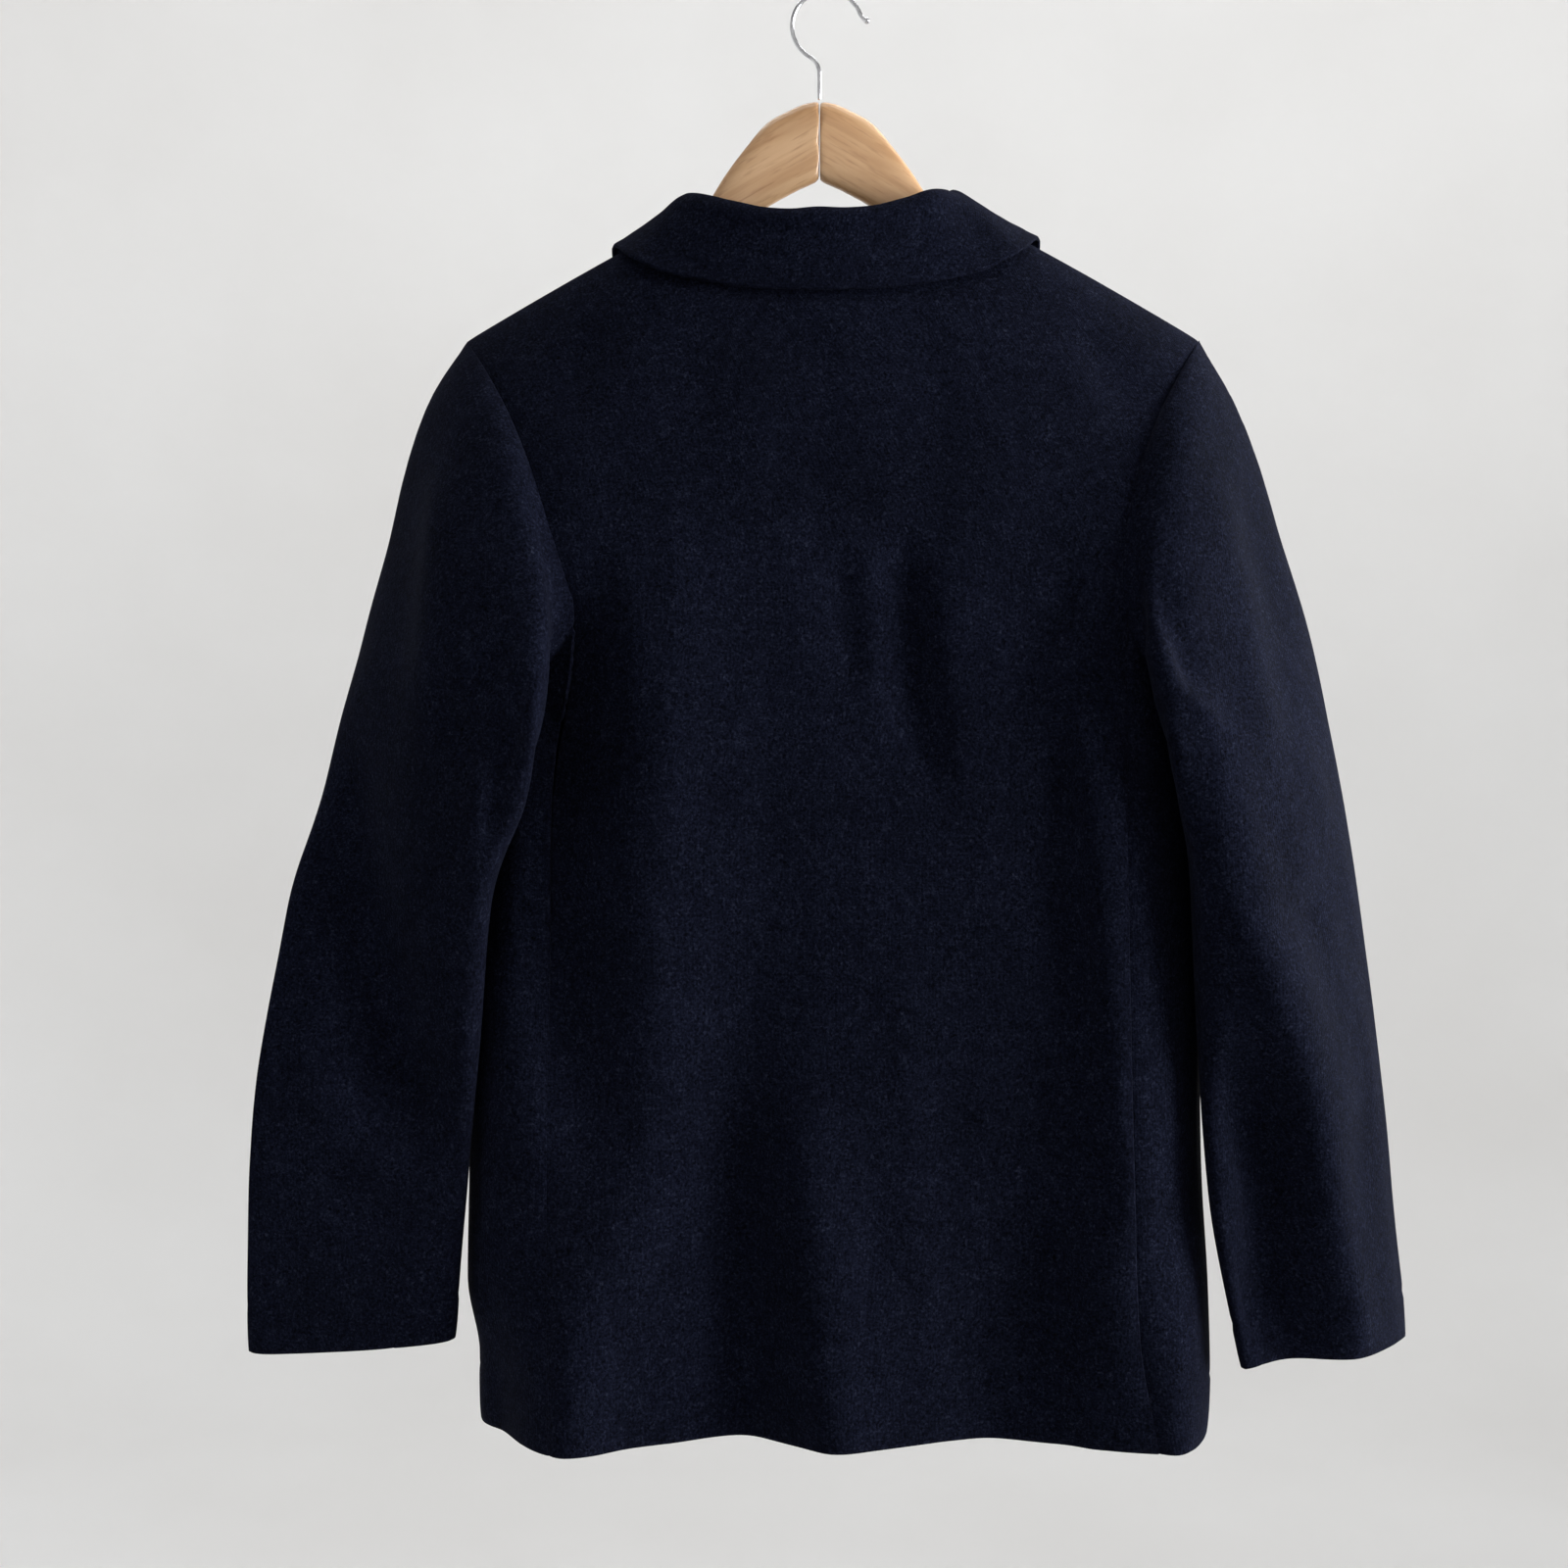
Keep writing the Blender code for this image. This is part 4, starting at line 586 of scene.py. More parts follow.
def creases(rows, x, z):
    """Height of a set of creases over (x, z). Each row: height (negative =
    trough), reach to the left and to the right of its path as it is walked,
    length over which it fades at its start and end, and the path."""
    total = np.zeros(np.broadcast(x, z).shape)
    for height, left, right, fade_a, fade_b, path in rows:
        pts = np.array(path, float)
        seg = np.diff(pts, axis=0)
        size = np.linalg.norm(seg, axis=1)
        whole = size.sum()
        best = np.full(total.shape, 1e9)
        side_d, where = np.zeros(total.shape), np.zeros(total.shape)
        run = 0.0
        for a, d, l in zip(pts, seg, size):
            t = ((x - a[0]) * d[0] + (z - a[1]) * d[1]) / (l * l)
            low = -1e9 if run == 0.0 else 0.0
            high = 1e9 if run + l > whole - 1e-9 else 1.0
            t = np.clip(t, low, high)
            ex, ez = x - a[0] - d[0] * t, z - a[1] - d[1] * t
            dist = np.hypot(ex, ez)
            near = dist < best
            best = np.where(near, dist, best)
            side_d = np.where(near, np.sign(d[0] * ez - d[1] * ex) * dist, side_d)
            where = np.where(near, run + t * l, where)
            run += l
        reach = np.where(side_d > 0, left, right)
        ends = smooth((where + fade_a * 0.5) / fade_a) * smooth((whole + fade_b * 0.5 - where) / fade_b)
        total = total + height * ends * np.exp(-(side_d / reach) ** 2)
    return total


# Creases of the back, as (x, z) walked from the top down: the left reach is
# then on the wearer's right (+X).
BACK_CREASES = (
    (-0.0058, 0.009, 0.015, 0.050, 0.026, ((0.0425, -0.338), (0.0437, -0.360), (0.0476, -0.4045), (0.0548, -0.446), (0.0600, -0.462))),
    (0.0044, 0.026, 0.011, 0.060, 0.060, ((0.0640, -0.350), (0.0665, -0.372), (0.0714, -0.427), (0.0798, -0.472))),
    (-0.0032, 0.012, 0.010, 0.030, 0.030, ((0.0060, -0.345), (0.0090, -0.375), (0.0130, -0.410))),
    (0.0024, 0.012, 0.012, 0.030, 0.030, ((0.0230, -0.340), (0.0250, -0.380), (0.0290, -0.430))),
    (-0.0060, 0.011, 0.015, 0.040, 0.060, ((0.1270, -0.430), (0.1290, -0.450), (0.1320, -0.500), (0.1370, -0.577), (0.1410, -0.620))),
    (0.0060, 0.020, 0.010, 0.040, 0.060, ((0.1440, -0.440), (0.1490, -0.500), (0.1560, -0.580), (0.1640, -0.660), (0.1700, -0.720))),
    (-0.0040, 0.014, 0.020, 0.060, 0.010, ((-0.0460, -0.650), (-0.0480, -0.740), (-0.0500, -0.870))),
    (0.0040, 0.024, 0.013, 0.060, 0.010, ((-0.0180, -0.660), (-0.0080, -0.740), (0.0040, -0.870))),
    (0.0050, 0.024, 0.014, 0.050, 0.010, ((0.1500, -0.715), (0.1500, -0.780), (0.1520, -0.870))),
    (-0.0040, 0.020, 0.008, 0.070, 0.080, ((-0.1540, -0.390), (-0.1570, -0.480), (-0.1560, -0.590))),
    (-0.0024, 0.007, 0.007, 0.016, 0.016, ((0.1145, -0.618), (0.1175, -0.636), (0.1205, -0.656))),
    (-0.0038, 0.014, 0.010, 0.040, 0.030, ((0.1370, -0.350), (0.1110, -0.407), (0.1040, -0.440))),
    (0.0030, 0.015, 0.012, 0.040, 0.030, ((0.1500, -0.372), (0.1330, -0.412), (0.1260, -0.450))),
    (-0.0022, 0.018, 0.015, 0.040, 0.040, ((0.1413, -0.195), (0.1850, -0.255))),
    (-0.0020, 0.015, 0.016, 0.040, 0.040, ((-0.1300, -0.200), (-0.1620, -0.262))),
    (-0.0030, 0.012, 0.015, 0.030, 0.050, ((-0.1480, -0.372), (-0.1300, -0.430), (-0.1240, -0.480))),
    (0.0022, 0.013, 0.012, 0.040, 0.040, ((-0.1180, -0.330), (-0.1050, -0.400))),
    (-0.0020, 0.012, 0.016, 0.060, 0.060, ((-0.0720, -0.420), (-0.0760, -0.500), (-0.0830, -0.580))),
    (0.0022, 0.016, 0.014, 0.070, 0.060, ((0.0420, -0.560), (0.0460, -0.650), (0.0540, -0.760))),
    (-0.0022, 0.014, 0.014, 0.060, 0.040, ((0.0640, -0.640), (0.0650, -0.720), (0.0700, -0.800))),
    (-0.0020, 0.020, 0.020, 0.040, 0.040, ((-0.0600, -0.205), (0.0000, -0.217), (0.0600, -0.206))),
    (-0.0016, 0.010, 0.012, 0.030, 0.030, ((-0.0880, -0.700), (-0.0950, -0.760), (-0.1060, -0.820))),
)
# Similar creases on the fronts, which the photograph doesn't show.
FRONT_CREASES = (
    (-0.0050, 0.018, 0.022, 0.080, 0.060, ((-0.1180, -0.400), (-0.1130, -0.520), (-0.1060, -0.640), (-0.1100, -0.760))),
    (0.0044, 0.020, 0.018, 0.080, 0.020, ((-0.0760, -0.440), (-0.0730, -0.600), (-0.0780, -0.720), (-0.0860, -0.850))),
    (-0.0034, 0.016, 0.016, 0.060, 0.020, ((-0.0420, -0.560), (-0.0470, -0.680), (-0.0520, -0.850))),
    (-0.0048, 0.022, 0.018, 0.080, 0.060, ((0.1200, -0.390), (0.1130, -0.500), (0.1150, -0.660), (0.1080, -0.780))),
    (0.0040, 0.018, 0.022, 0.080, 0.020, ((0.0780, -0.480), (0.0800, -0.620), (0.0760, -0.740), (0.0820, -0.850))),
    (-0.0030, 0.015, 0.016, 0.060, 0.020, ((0.0460, -0.600), (0.0500, -0.720), (0.0480, -0.850))),
    (-0.0040, 0.012, 0.016, 0.040, 0.050, ((-0.1560, -0.352), (-0.1320, -0.420), (-0.1240, -0.470))),
    (-0.0036, 0.016, 0.012, 0.040, 0.050, ((0.1620, -0.356), (0.1400, -0.420), (0.1330, -0.480))),
    (-0.0024, 0.012, 0.012, 0.040, 0.040, ((-0.0300, -0.455), (-0.0700, -0.470), (-0.1100, -0.455))),
    (-0.0022, 0.012, 0.012, 0.040, 0.040, ((0.0350, -0.560), (0.0700, -0.575), (0.1050, -0.560))),
)
# Sleeve creases over (x, z): the half seen from behind, and the half in front.
SLEEVE_CREASES = {
    -1: (
        (0.0040, 0.020, 0.012, 0.050, 0.050, ((-0.2240, -0.300), (-0.2250, -0.360), (-0.2240, -0.427))),
        (-0.0050, 0.009, 0.014, 0.030, 0.020, ((-0.2240, -0.410), (-0.2130, -0.434), (-0.1950, -0.446), (-0.1707, -0.446))),
        (-0.0036, 0.006, 0.007, 0.020, 0.030, ((-0.1770, -0.445), (-0.1830, -0.470), (-0.1915, -0.510))),
        (0.0026, 0.008, 0.007, 0.020, 0.020, ((-0.1935, -0.462), (-0.1985, -0.505))),
        (-0.0034, 0.007, 0.007, 0.016, 0.016, ((-0.1825, -0.394), (-0.1935, -0.420))),
        (-0.0026, 0.006, 0.006, 0.012, 0.012, ((-0.1690, -0.414), (-0.1750, -0.430))),
        (0.0030, 0.009, 0.009, 0.020, 0.020, ((-0.1900, -0.385), (-0.2040, -0.412))),
        (-0.0028, 0.014, 0.018, 0.040, 0.040, ((-0.2900, -0.685), (-0.2470, -0.734))),
        (0.0024, 0.016, 0.016, 0.040, 0.040, ((-0.2960, -0.640), (-0.2500, -0.700))),
        (-0.0040, 0.026, 0.014, 0.060, 0.060, ((-0.2820, -0.450), (-0.2690, -0.545), (-0.2520, -0.605), (-0.2240, -0.672))),
        (0.0040, 0.010, 0.014, 0.030, 0.060, ((-0.1880, -0.500), (-0.1960, -0.580), (-0.2060, -0.655))),
        (0.0020, 0.014, 0.018, 0.050, 0.050, ((-0.3050, -0.520), (-0.3000, -0.600), (-0.2860, -0.680))),
    ),
    1: (
        (0.0048, 0.028, 0.011, 0.080, 0.030, ((0.2130, -0.439), (0.2213, -0.530), (0.2411, -0.5695), (0.2581, -0.6086), (0.2752, -0.657), (0.2862, -0.713), (0.3032, -0.784))),
        (-0.0060, 0.012, 0.016, 0.040, 0.030, ((0.2257, -0.628), (0.2356, -0.657), (0.2438, -0.699), (0.2455, -0.742), (0.2438, -0.780))),
        (-0.0040, 0.010, 0.009, 0.030, 0.020, ((0.1822, -0.356), (0.1987, -0.415))),
        (0.0034, 0.008, 0.007, 0.020, 0.020, ((0.1773, -0.391), (0.1916, -0.422), (0.2103, -0.438))),
        (-0.0022, 0.014, 0.016, 0.050, 0.040, ((0.2450, -0.300), (0.2600, -0.380), (0.2680, -0.450))),
        (0.0022, 0.014, 0.014, 0.050, 0.040, ((0.2250, -0.300), (0.2400, -0.380), (0.2480, -0.450))),
        (-0.0026, 0.014, 0.014, 0.040, 0.040, ((0.2950, -0.520), (0.2700, -0.545), (0.2450, -0.550))),
        (-0.0022, 0.012, 0.014, 0.040, 0.040, ((0.3100, -0.640), (0.3000, -0.720), (0.3120, -0.790))),
    ),
}
SLEEVE_FRONT_CREASES = {
    side: (
        (-0.0042, 0.012, 0.014, 0.030, 0.040, ((side * 0.222, -0.470), (side * 0.255, -0.500), (side * 0.285, -0.490))),
        (0.0036, 0.012, 0.012, 0.030, 0.040, ((side * 0.225, -0.500), (side * 0.258, -0.530), (side * 0.292, -0.518))),
        (-0.0036, 0.012, 0.012, 0.030, 0.040, ((side * 0.230, -0.538), (side * 0.262, -0.560), (side * 0.300, -0.546))),
        (-0.0034, 0.012, 0.016, 0.050, 0.060, ((side * 0.205, -0.330), (side * 0.228, -0.420), (side * 0.240, -0.470))),
        (0.0030, 0.014, 0.014, 0.050, 0.060, ((side * 0.228, -0.300), (side * 0.250, -0.400))),
        (-0.0030, 0.014, 0.014, 0.050, 0.060, ((side * 0.262, -0.600), (side * 0.268, -0.700), (side * 0.280, -0.780))),
    ) for side in (-1, 1)
}


def sheet_mesh(name, p, thick, mat, used=None, lift=None, normal_hint=None, blend=None, trim=0.0):
    """Closed fine sheet: the outer face p, the inner face behind it, and a
    rounded rim. UV is the distance in metres across and along the piece."""
    nu, nv = p.shape[:2]
    if used is None:
        used = np.ones((nu - 1, nv - 1), bool)
    n = grid_normals(p)
    if float(np.sum(n * normal_hint)) < 0:
        n = -n
    def turned(n):
        if blend is None:
            return n
        return unit(n * (1 - np.clip(blend[0], 0, 1))[..., None] + blend[1])

    n = turned(n)
    if lift is not None:
        p = p + n * lift[..., None]
        n2 = grid_normals(p)
        n = turned(n2 if float(np.sum(n2 * n)) > 0 else -n2)
    q = p - n * thick[..., None]
    du, dv = arc(p, 0), arc(p, 1)
    need = np.zeros((nu, nv), bool)
    for a, b in ((0, 0), (0, 1), (1, 0), (1, 1)):
        need[a:nu - 1 + a, b:nv - 1 + b] |= used
    index = -np.ones((nu, nv), int)
    index[need] = np.arange(int(need.sum()))
    count = int(need.sum())
    i, j = np.nonzero(used)
    quads = np.stack([index[i, j], index[i + 1, j], index[i + 1, j + 1], index[i, j + 1]], axis=1)
    across = np.cross(p[i + 1, j + 1] - p[i, j], p[i, j + 1] - p[i + 1, j])
    if float(np.sum(across * n[i, j])) < 0:
        quads = quads[:, ::-1]
    edges = {}
    for a, b in zip(quads.ravel(), np.roll(quads, -1, axis=1).ravel()):
        edges[int(a), int(b)] = 1
    rim = [(a, b) for a, b in edges if (b, a) not in edges]
    outer, inner = p[need], q[need]
    flat_n = n[need]
    out_dir = {}
    for a, b in rim:
        e = outer[b] - outer[a]
        w = np.cross(e, flat_n[a])
        for v in (a, b):
            out_dir[v] = out_dir.get(v, 0) + w
    mids = {v: 2 * count + k for k, v in enumerate(out_dir)}
    thick_flat = thick[need]
    middle = [(outer[v] + inner[v]) / 2 + unit(out_dir[v]) * thick_flat[v] * 0.42 for v in out_dir]
    verts = np.concatenate([outer, inner, np.array(middle).reshape(-1, 3)])
    faces = [tuple(f) for f in quads.tolist()] + [tuple(v + count for v in f[::-1]) for f in quads.tolist()]
    for a, b in rim:
        faces.append((b, a, mids[a], mids[b]))
        faces.append((mids[b], mids[a], a + count, b + count))
    mesh = bpy.data.meshes.new(name)
    mesh.from_pydata(verts.tolist(), [], faces)
    uv = mesh.uv_layers.new(name="UVMap")
    flat_u, flat_v = du[need], dv[need]
    table_uv = np.stack([flat_u, flat_v], axis=1)
    rim_uv = np.array([table_uv[v] for v in out_dir]).reshape(-1, 2)
    all_uv = np.concatenate([table_uv, table_uv, rim_uv])
    loops = np.zeros(len(mesh.loops), int)
    mesh.loops.foreach_get("vertex_index", loops)
    uv.data.foreach_set("uv", all_uv[loops].astype(np.float32).ravel())
    mesh.polygons.foreach_set("use_smooth", np.ones(len(mesh.polygons), bool))
    mesh.materials.append(mat)
    mesh.update()
    ob = bpy.data.objects.new(name, mesh)
    bpy.context.scene.collection.objects.link(ob)
    return ob


# The cloth sinks in under the collar's lower edge.
COLLAR_DENT = (
    (-0.0022, 0.0050, 0.0040, 0.020, 0.020, ((-0.1060, -0.1690), (-0.0840, -0.1765), (-0.0620, -0.1828), (-0.0330, -0.1862),
                                            (-0.0040, -0.1872), (0.0260, -0.1862), (0.0560, -0.1828), (0.0780, -0.1765), (0.1000, -0.1690))),
)


def curve_rows(p, axis, key, where):
    """Smooth curves through the rows of p along an axis, read at where."""
    p = np.moveaxis(np.asarray(p, float), axis, 0)
    key = np.asarray(key, float)
    h = np.diff(key)
    shape = (-1,) + (1,) * (p.ndim - 1)
    d = np.diff(p, axis=0) / h.reshape(shape)
    m = np.zeros_like(p)
    m[0], m[-1] = d[0], d[-1]
    h0, h1 = h[:-1].reshape(shape), h[1:].reshape(shape)
    m[1:-1] = (h1 * d[:-1] + h0 * d[1:]) / (h0 + h1)
    where = np.clip(where, key[0], key[-1])
    i = np.clip(np.searchsorted(key, where, side="right") - 1, 0, len(key) - 2)
    hi = h[i]
    s = ((where - key[i]) / hi).reshape(shape)
    hi = hi.reshape(shape)
    out = ((1 + 2 * s) * (1 - s) ** 2 * p[i] + s * (1 - s) ** 2 * hi * m[i]
           + s * s * (3 - 2 * s) * p[i + 1] + s * s * (s - 1) * hi * m[i + 1])
    return np.moveaxis(out, 0, axis)


def chord_key(p, axis):
    """Mean distance along an axis, as a parameter for curve_rows."""
    d = np.linalg.norm(np.diff(p, axis=axis), axis=-1)
    mean = d.mean(axis=1 - axis)
    return np.concatenate([[0.0], np.cumsum(mean)])


def hem_thick(d, wide, extra=0.0011):
    """The turned-up hem makes the cloth thicker along the edge."""
    return CLOTH + extra * smooth((wide - d) / 0.004)


def hem_line(d, wide):
    """Faint line where the turned-up edge ends and is caught by stitches."""
    return 0.00025 * smooth((wide - d) / 0.003) - 0.00045 * np.exp(-((d - wide) / 0.0016) ** 2)


# ---------------------------------------------------------------- pieces
def fine_back():
    left, right = ARMHOLE[-1]["top"], ARMHOLE[1]["top"]
    f = shares(0.36)
    for s in (-1, 1):
        neck = (NECK_X + s * NECK_HALF - left[0]) / (right[0] - left[0])
        f[np.argmin(np.abs(f - neck))] = neck
    v_low, v_up = shares(0.47, end=False), shares(0.24, start=False)
    joins = [armhole_xz(s, np.array(JOIN)) for s in (-1, 1)]
    xs, zs = [], []
    for v in v_low:
        zl, zr = (HEM_Z + (j[1] - HEM_Z) * v for j in joins)
        xl, xr = seam_x(-1, zl), seam_x(1, zr)
        xs.append(xl + (xr - xl) * f)
        zs.append(zl + (zr - zl) * f)
    bottom = zs[-1]
    top = top_z(left[0] + (right[0] - left[0]) * f)
    top[0], top[-1] = left[1], right[1]
    for v in v_up[1:]:
        (xl, zl), (xr, zr) = (armhole_xz(s, np.array(JOIN * (1 - v))) for s in (-1, 1))
        lift_l = (zl - bottom[0]) / (left[1] - bottom[0])
        lift_r = (zr - bottom[-1]) / (right[1] - bottom[-1])
        xs.append(xl + (xr - xl) * f)
        zs.append(bottom + (top - bottom) * (lift_l + (lift_r - lift_l) * f))
    x, z = np.stack(xs, axis=1), np.stack(zs, axis=1)
    k = back_k(x, z)
    p = body(k, z)
    m = len(v_low) - 1
    du, dv = arc(p, 0), arc(p, 1)
    d_left, d_right = du, du[-1:] - du
    d_top, d_hem = dv[:, -1:] - dv, dv
    side_fade = smooth((2.0 - np.abs(k)) / 0.7)
    open_z = np.where(np.abs(x - NECK_X) < 0.13, smooth((-0.192 - z) / 0.03), smooth((ridge_z(x) - 0.02 - z) / 0.05))
    lift = creases(BACK_CREASES, x, z) * side_fade * open_z
    lift = lift + 0.00085 * ripple(x, z, 11) * open_z * smooth(d_left / 0.03) * smooth(d_right / 0.03)
    lift = lift + creases(COLLAR_DENT, x, z)
    soft = 0.0004 + 0.0006 * smooth((-0.36 - z) / 0.10)
    lift = lift + roll(d_left, soft, 0.0045) + roll(d_right, soft, 0.0045) + roll(d_top, 0.0006, 0.0025) + hem_line(d_hem, 0.030)
    lift = lift - 0.0009 * np.exp(-(d_hem / 0.007))
    hint = body_normal(k, z)
    normals = np.zeros_like(p)
    weight = np.zeros(p.shape[:2])
    ang = JOIN * (1 - v_up)
    for col, side, d in ((0, -1, d_left), (-1, 1, d_right)):
        w = np.exp(-(d[:, m:] / 0.005) ** 2)
        normals[:, m:] += armhole_normal(side, ang)[None] * w[..., None]
        weight[:, m:] += w
    return sheet_mesh("back_panel", p, hem_thick(d_hem, 0.030), KNIT["back"], lift=lift, normal_hint=hint,
                      blend=(weight, normals), trim=0.00012)


def fine_front(side):
    arm = shares(0.125, end=False)
    g = shares(0.19)[len(EDGE) - 1:]
    g = (g - g[0]) / (1 - g[0])
    v_low, v_up = shares(0.44), shares(0.21, start=False)
    v_low = np.unique(np.concatenate([v_low]))
    arm_a = JOIN + (FRONT_JOIN - JOIN) * arm
    s = len(arm) - 1
    arm_x, arm_z = armhole_xz(side, arm_a)
    z_mid = arm_z[-1] + (BREAK_Z + 0.012 - arm_z[-1]) * g
    x_mid = arm_x[-1] + (front_edge_x(side, z_mid[-1]) - arm_x[-1]) * g
    k_top = np.concatenate([armhole_k(side, arm_a), front_k(x_mid, z_mid, side)[1:]])
    z_top = np.concatenate([arm_z, z_mid[1:]])
    k0 = back_k(seam_x(side, HEM_Z), HEM_Z)
    k1 = front_k(front_edge_x(side, HEM_Z), HEM_Z, side)
    dense = np.linspace(k0, k1, 800)
    line = body(dense, HEM_Z)
    run = np.concatenate([[0], np.cumsum(np.linalg.norm(np.diff(line, axis=0), axis=1))])
    share = np.concatenate([0.30 * arm, 0.30 + 0.70 * g[1:]])
    k_hem = np.interp(share * run[-1], run, dense)
    ks, zs = [], []
    for v in v_low:
        z = HEM_Z + (z_top - HEM_Z) * v
        k = k_hem + (k_top - k_hem) * v
        fix0 = back_k(seam_x(side, z[0]), z[0]) - k[0]
        fix1 = front_k(front_edge_x(side, z[-1]), z[-1], side) - k[-1]
        ks.append(k + fix0 * (1 - share) ** 2 + fix1 * share ** 2)
        zs.append(z)
    tip_x, tip_z = ARMHOLE[side]["top"]
    top = ridge_z(tip_x + (NECK_X + side * NECK_HALF - tip_x) * g)
    top[0] = tip_z
    for v in v_up[1:]:
        xa, za = armhole_xz(side, np.array(FRONT_JOIN + (2 * math.pi - FRONT_JOIN) * v))
        lift_a = (za - z_mid[0]) / (tip_z - z_mid[0])
        z = z_mid + (top - z_mid) * (lift_a + (v - lift_a) * g)
        x = xa + (front_edge_x(side, z[-1]) - xa) * g
        k = front_k(x, z, side)
        ks.append(np.concatenate([np.repeat(k[:1], s), k]))
        zs.append(np.concatenate([np.repeat(z[:1], s), z]))
    k, z = np.stack(ks, axis=1), np.stack(zs, axis=1)
    m = len(v_low) - 1
    used = np.ones((k.shape[0] - 1, k.shape[1] - 1), bool)
    used[:s, m:] = False
    p = body(k, z)
    p[..., 1] += overlap_lift(side, p[..., 0], p[..., 2]) * (p[..., 1] > 0.02)
    du, dv = arc(p, 0), arc(p, 1)
    d_seam, d_hem = du, dv
    d_arm = np.full(du.shape, 1.0)
    d_arm[:s + 1, :m + 1] = dv[:s + 1, m:m + 1] - dv[:s + 1, :m + 1]
    across = du - du[s:s + 1]
    d_arm[s:, m:] = across[s:, m:]
    d_arm[s + 1:, :m] = np.hypot(across[s + 1:, :m], dv[s + 1:, m:m + 1] - dv[s + 1:, :m])
    d_top = dv[:, -1:] - dv
    x = p[..., 0]
    open_z = 1 - 0.8 * smooth((z - (BREAK_Z - 0.03)) / 0.04) * smooth((0.15 - np.abs(x)) / 0.02)
    open_z = open_z * smooth((ridge_z(x) - 0.015 - z) / 0.05)
    front_fade = smooth((np.abs(k) - 2.1) / 0.7)
    lift = creases(FRONT_CREASES, x, z) * front_fade * open_z
    lift = lift + 0.00080 * ripple(x, z, 23) * open_z * smooth(d_seam / 0.03) * smooth(d_arm / 0.02)
    lift = lift + roll(d_seam, 0.0009, 0.0045) + roll(d_arm, 0.0009, 0.0045) + roll(d_top, 0.0007, 0.0025) + hem_line(d_hem, 0.030)
    lift = lift - 0.0009 * np.exp(-(d_hem / 0.007))
    hint = body_normal(k, z)
    # beyond the armhole the grid runs on, so that edge normals come out right
    p[:s, m + 1] = 2 * p[:s, m] - p[:s, m - 1]
    for r in range(m + 2, p.shape[1]):
        p[:s, r] = p[:s, m + 1]
    p[s - 1, m + 1:] = 2 * p[s, m + 1:] - p[s + 1, m + 1:]
    hint[:s, m + 1:] = 0
    normals = np.zeros_like(p)
    weight = np.zeros(p.shape[:2])
    w = np.exp(-(d_arm / 0.005) ** 2)
    low_n = armhole_normal(side, arm_a)
    up_n = armhole_normal(side, FRONT_JOIN + (2 * math.pi - FRONT_JOIN) * v_up)
    normals[:s + 1, :m + 1] = low_n[:, None] * w[:s + 1, :m + 1, None]
    weight[:s + 1, :m + 1] = w[:s + 1, :m + 1]
    normals[s:, m:] = up_n[None] * w[s:, m:, None]
    weight[s:, m:] = w[s:, m:]
    name = "front_panel_left" if side < 0 else "front_panel_right"
    return sheet_mesh(name, p, hem_thick(d_hem, 0.030), KNIT["front_left" if side < 0 else "front_right"],
                      used=used, lift=lift, normal_hint=hint, blend=(weight, normals), trim=0.00012)


def fine_sleeve(side, upper):
    t = shares(0.62 if upper else 0.45)
    around = 2 * math.pi
    cols = shares(0.27 if upper else 0.125)
    join = (FRONT_JOIN - around, JOIN) if upper else (JOIN, FRONT_JOIN)
    seam = SLEEVE_SEAM[side]
    hind, front = np.radians(at(seam, "t", "hind", t)), np.radians(at(seam, "t", "front", t))
    first, last = (front - around, hind) if upper else (hind, front)
    a = first[None, :] + (last - first)[None, :] * cols[:, None]
    tt = np.broadcast_to(t[None, :], a.shape)
    p = sleeve(side, a, tt)
    x, z = p[..., 0], p[..., 2]
    du, dv = arc(p, 0), arc(p, 1)
    d_arm, d_cuff = dv, dv[:, -1:] - dv
    d_seam = np.minimum(du, du[-1:] - du)
    sa, ca = np.sin(a), np.cos(a)
    start = smooth((d_arm - 0.004) / 0.03)
    back_part, front_part = smooth((sa - 0.02) / 0.45), smooth((-sa - 0.02) / 0.45)
    lift = creases(SLEEVE_CREASES[side], x, z) * back_part * start
    lift = lift + creases(SLEEVE_FRONT_CREASES[side], x, z) * front_part * start
    lift = lift + 0.0009 * ripple(a * 0.055, z, 31 + side) * start * smooth(d_seam / 0.02) * (1 - 0.6 * smooth((-ca - 0.5) / 0.3))
    lift = lift + 0.0042 * smooth((ca + 0.1) / 0.8) * (1 - np.exp(-d_arm / 0.020)) * (1 - smooth((d_arm - 0.035) / 0.10))
    lift = lift + roll(d_arm, 0.0006, 0.0040) + roll(d_seam, 0.0005, 0.0036) + hem_line(d_cuff, 0.025)
    lift = lift - 0.0007 * np.exp(-(d_cuff / 0.006))
    w = np.exp(-(d_arm / 0.006) ** 2)
    normals = armhole_normal(side, a[:, 0])[:, None] * w[..., None]
    name = ("sleeve_top_" if upper else "sleeve_under_") + ("left" if side < 0 else "right")
    node = ("top_sleeve_" if upper else "under_sleeve_") + ("left" if side < 0 else "right")
    return sheet_mesh(name, p, hem_thick(d_cuff, 0.025, 0.0009), KNIT[node], lift=lift,
                      normal_hint=sleeve_normal(side, a, tt), blend=(w, normals), trim=0.00012)


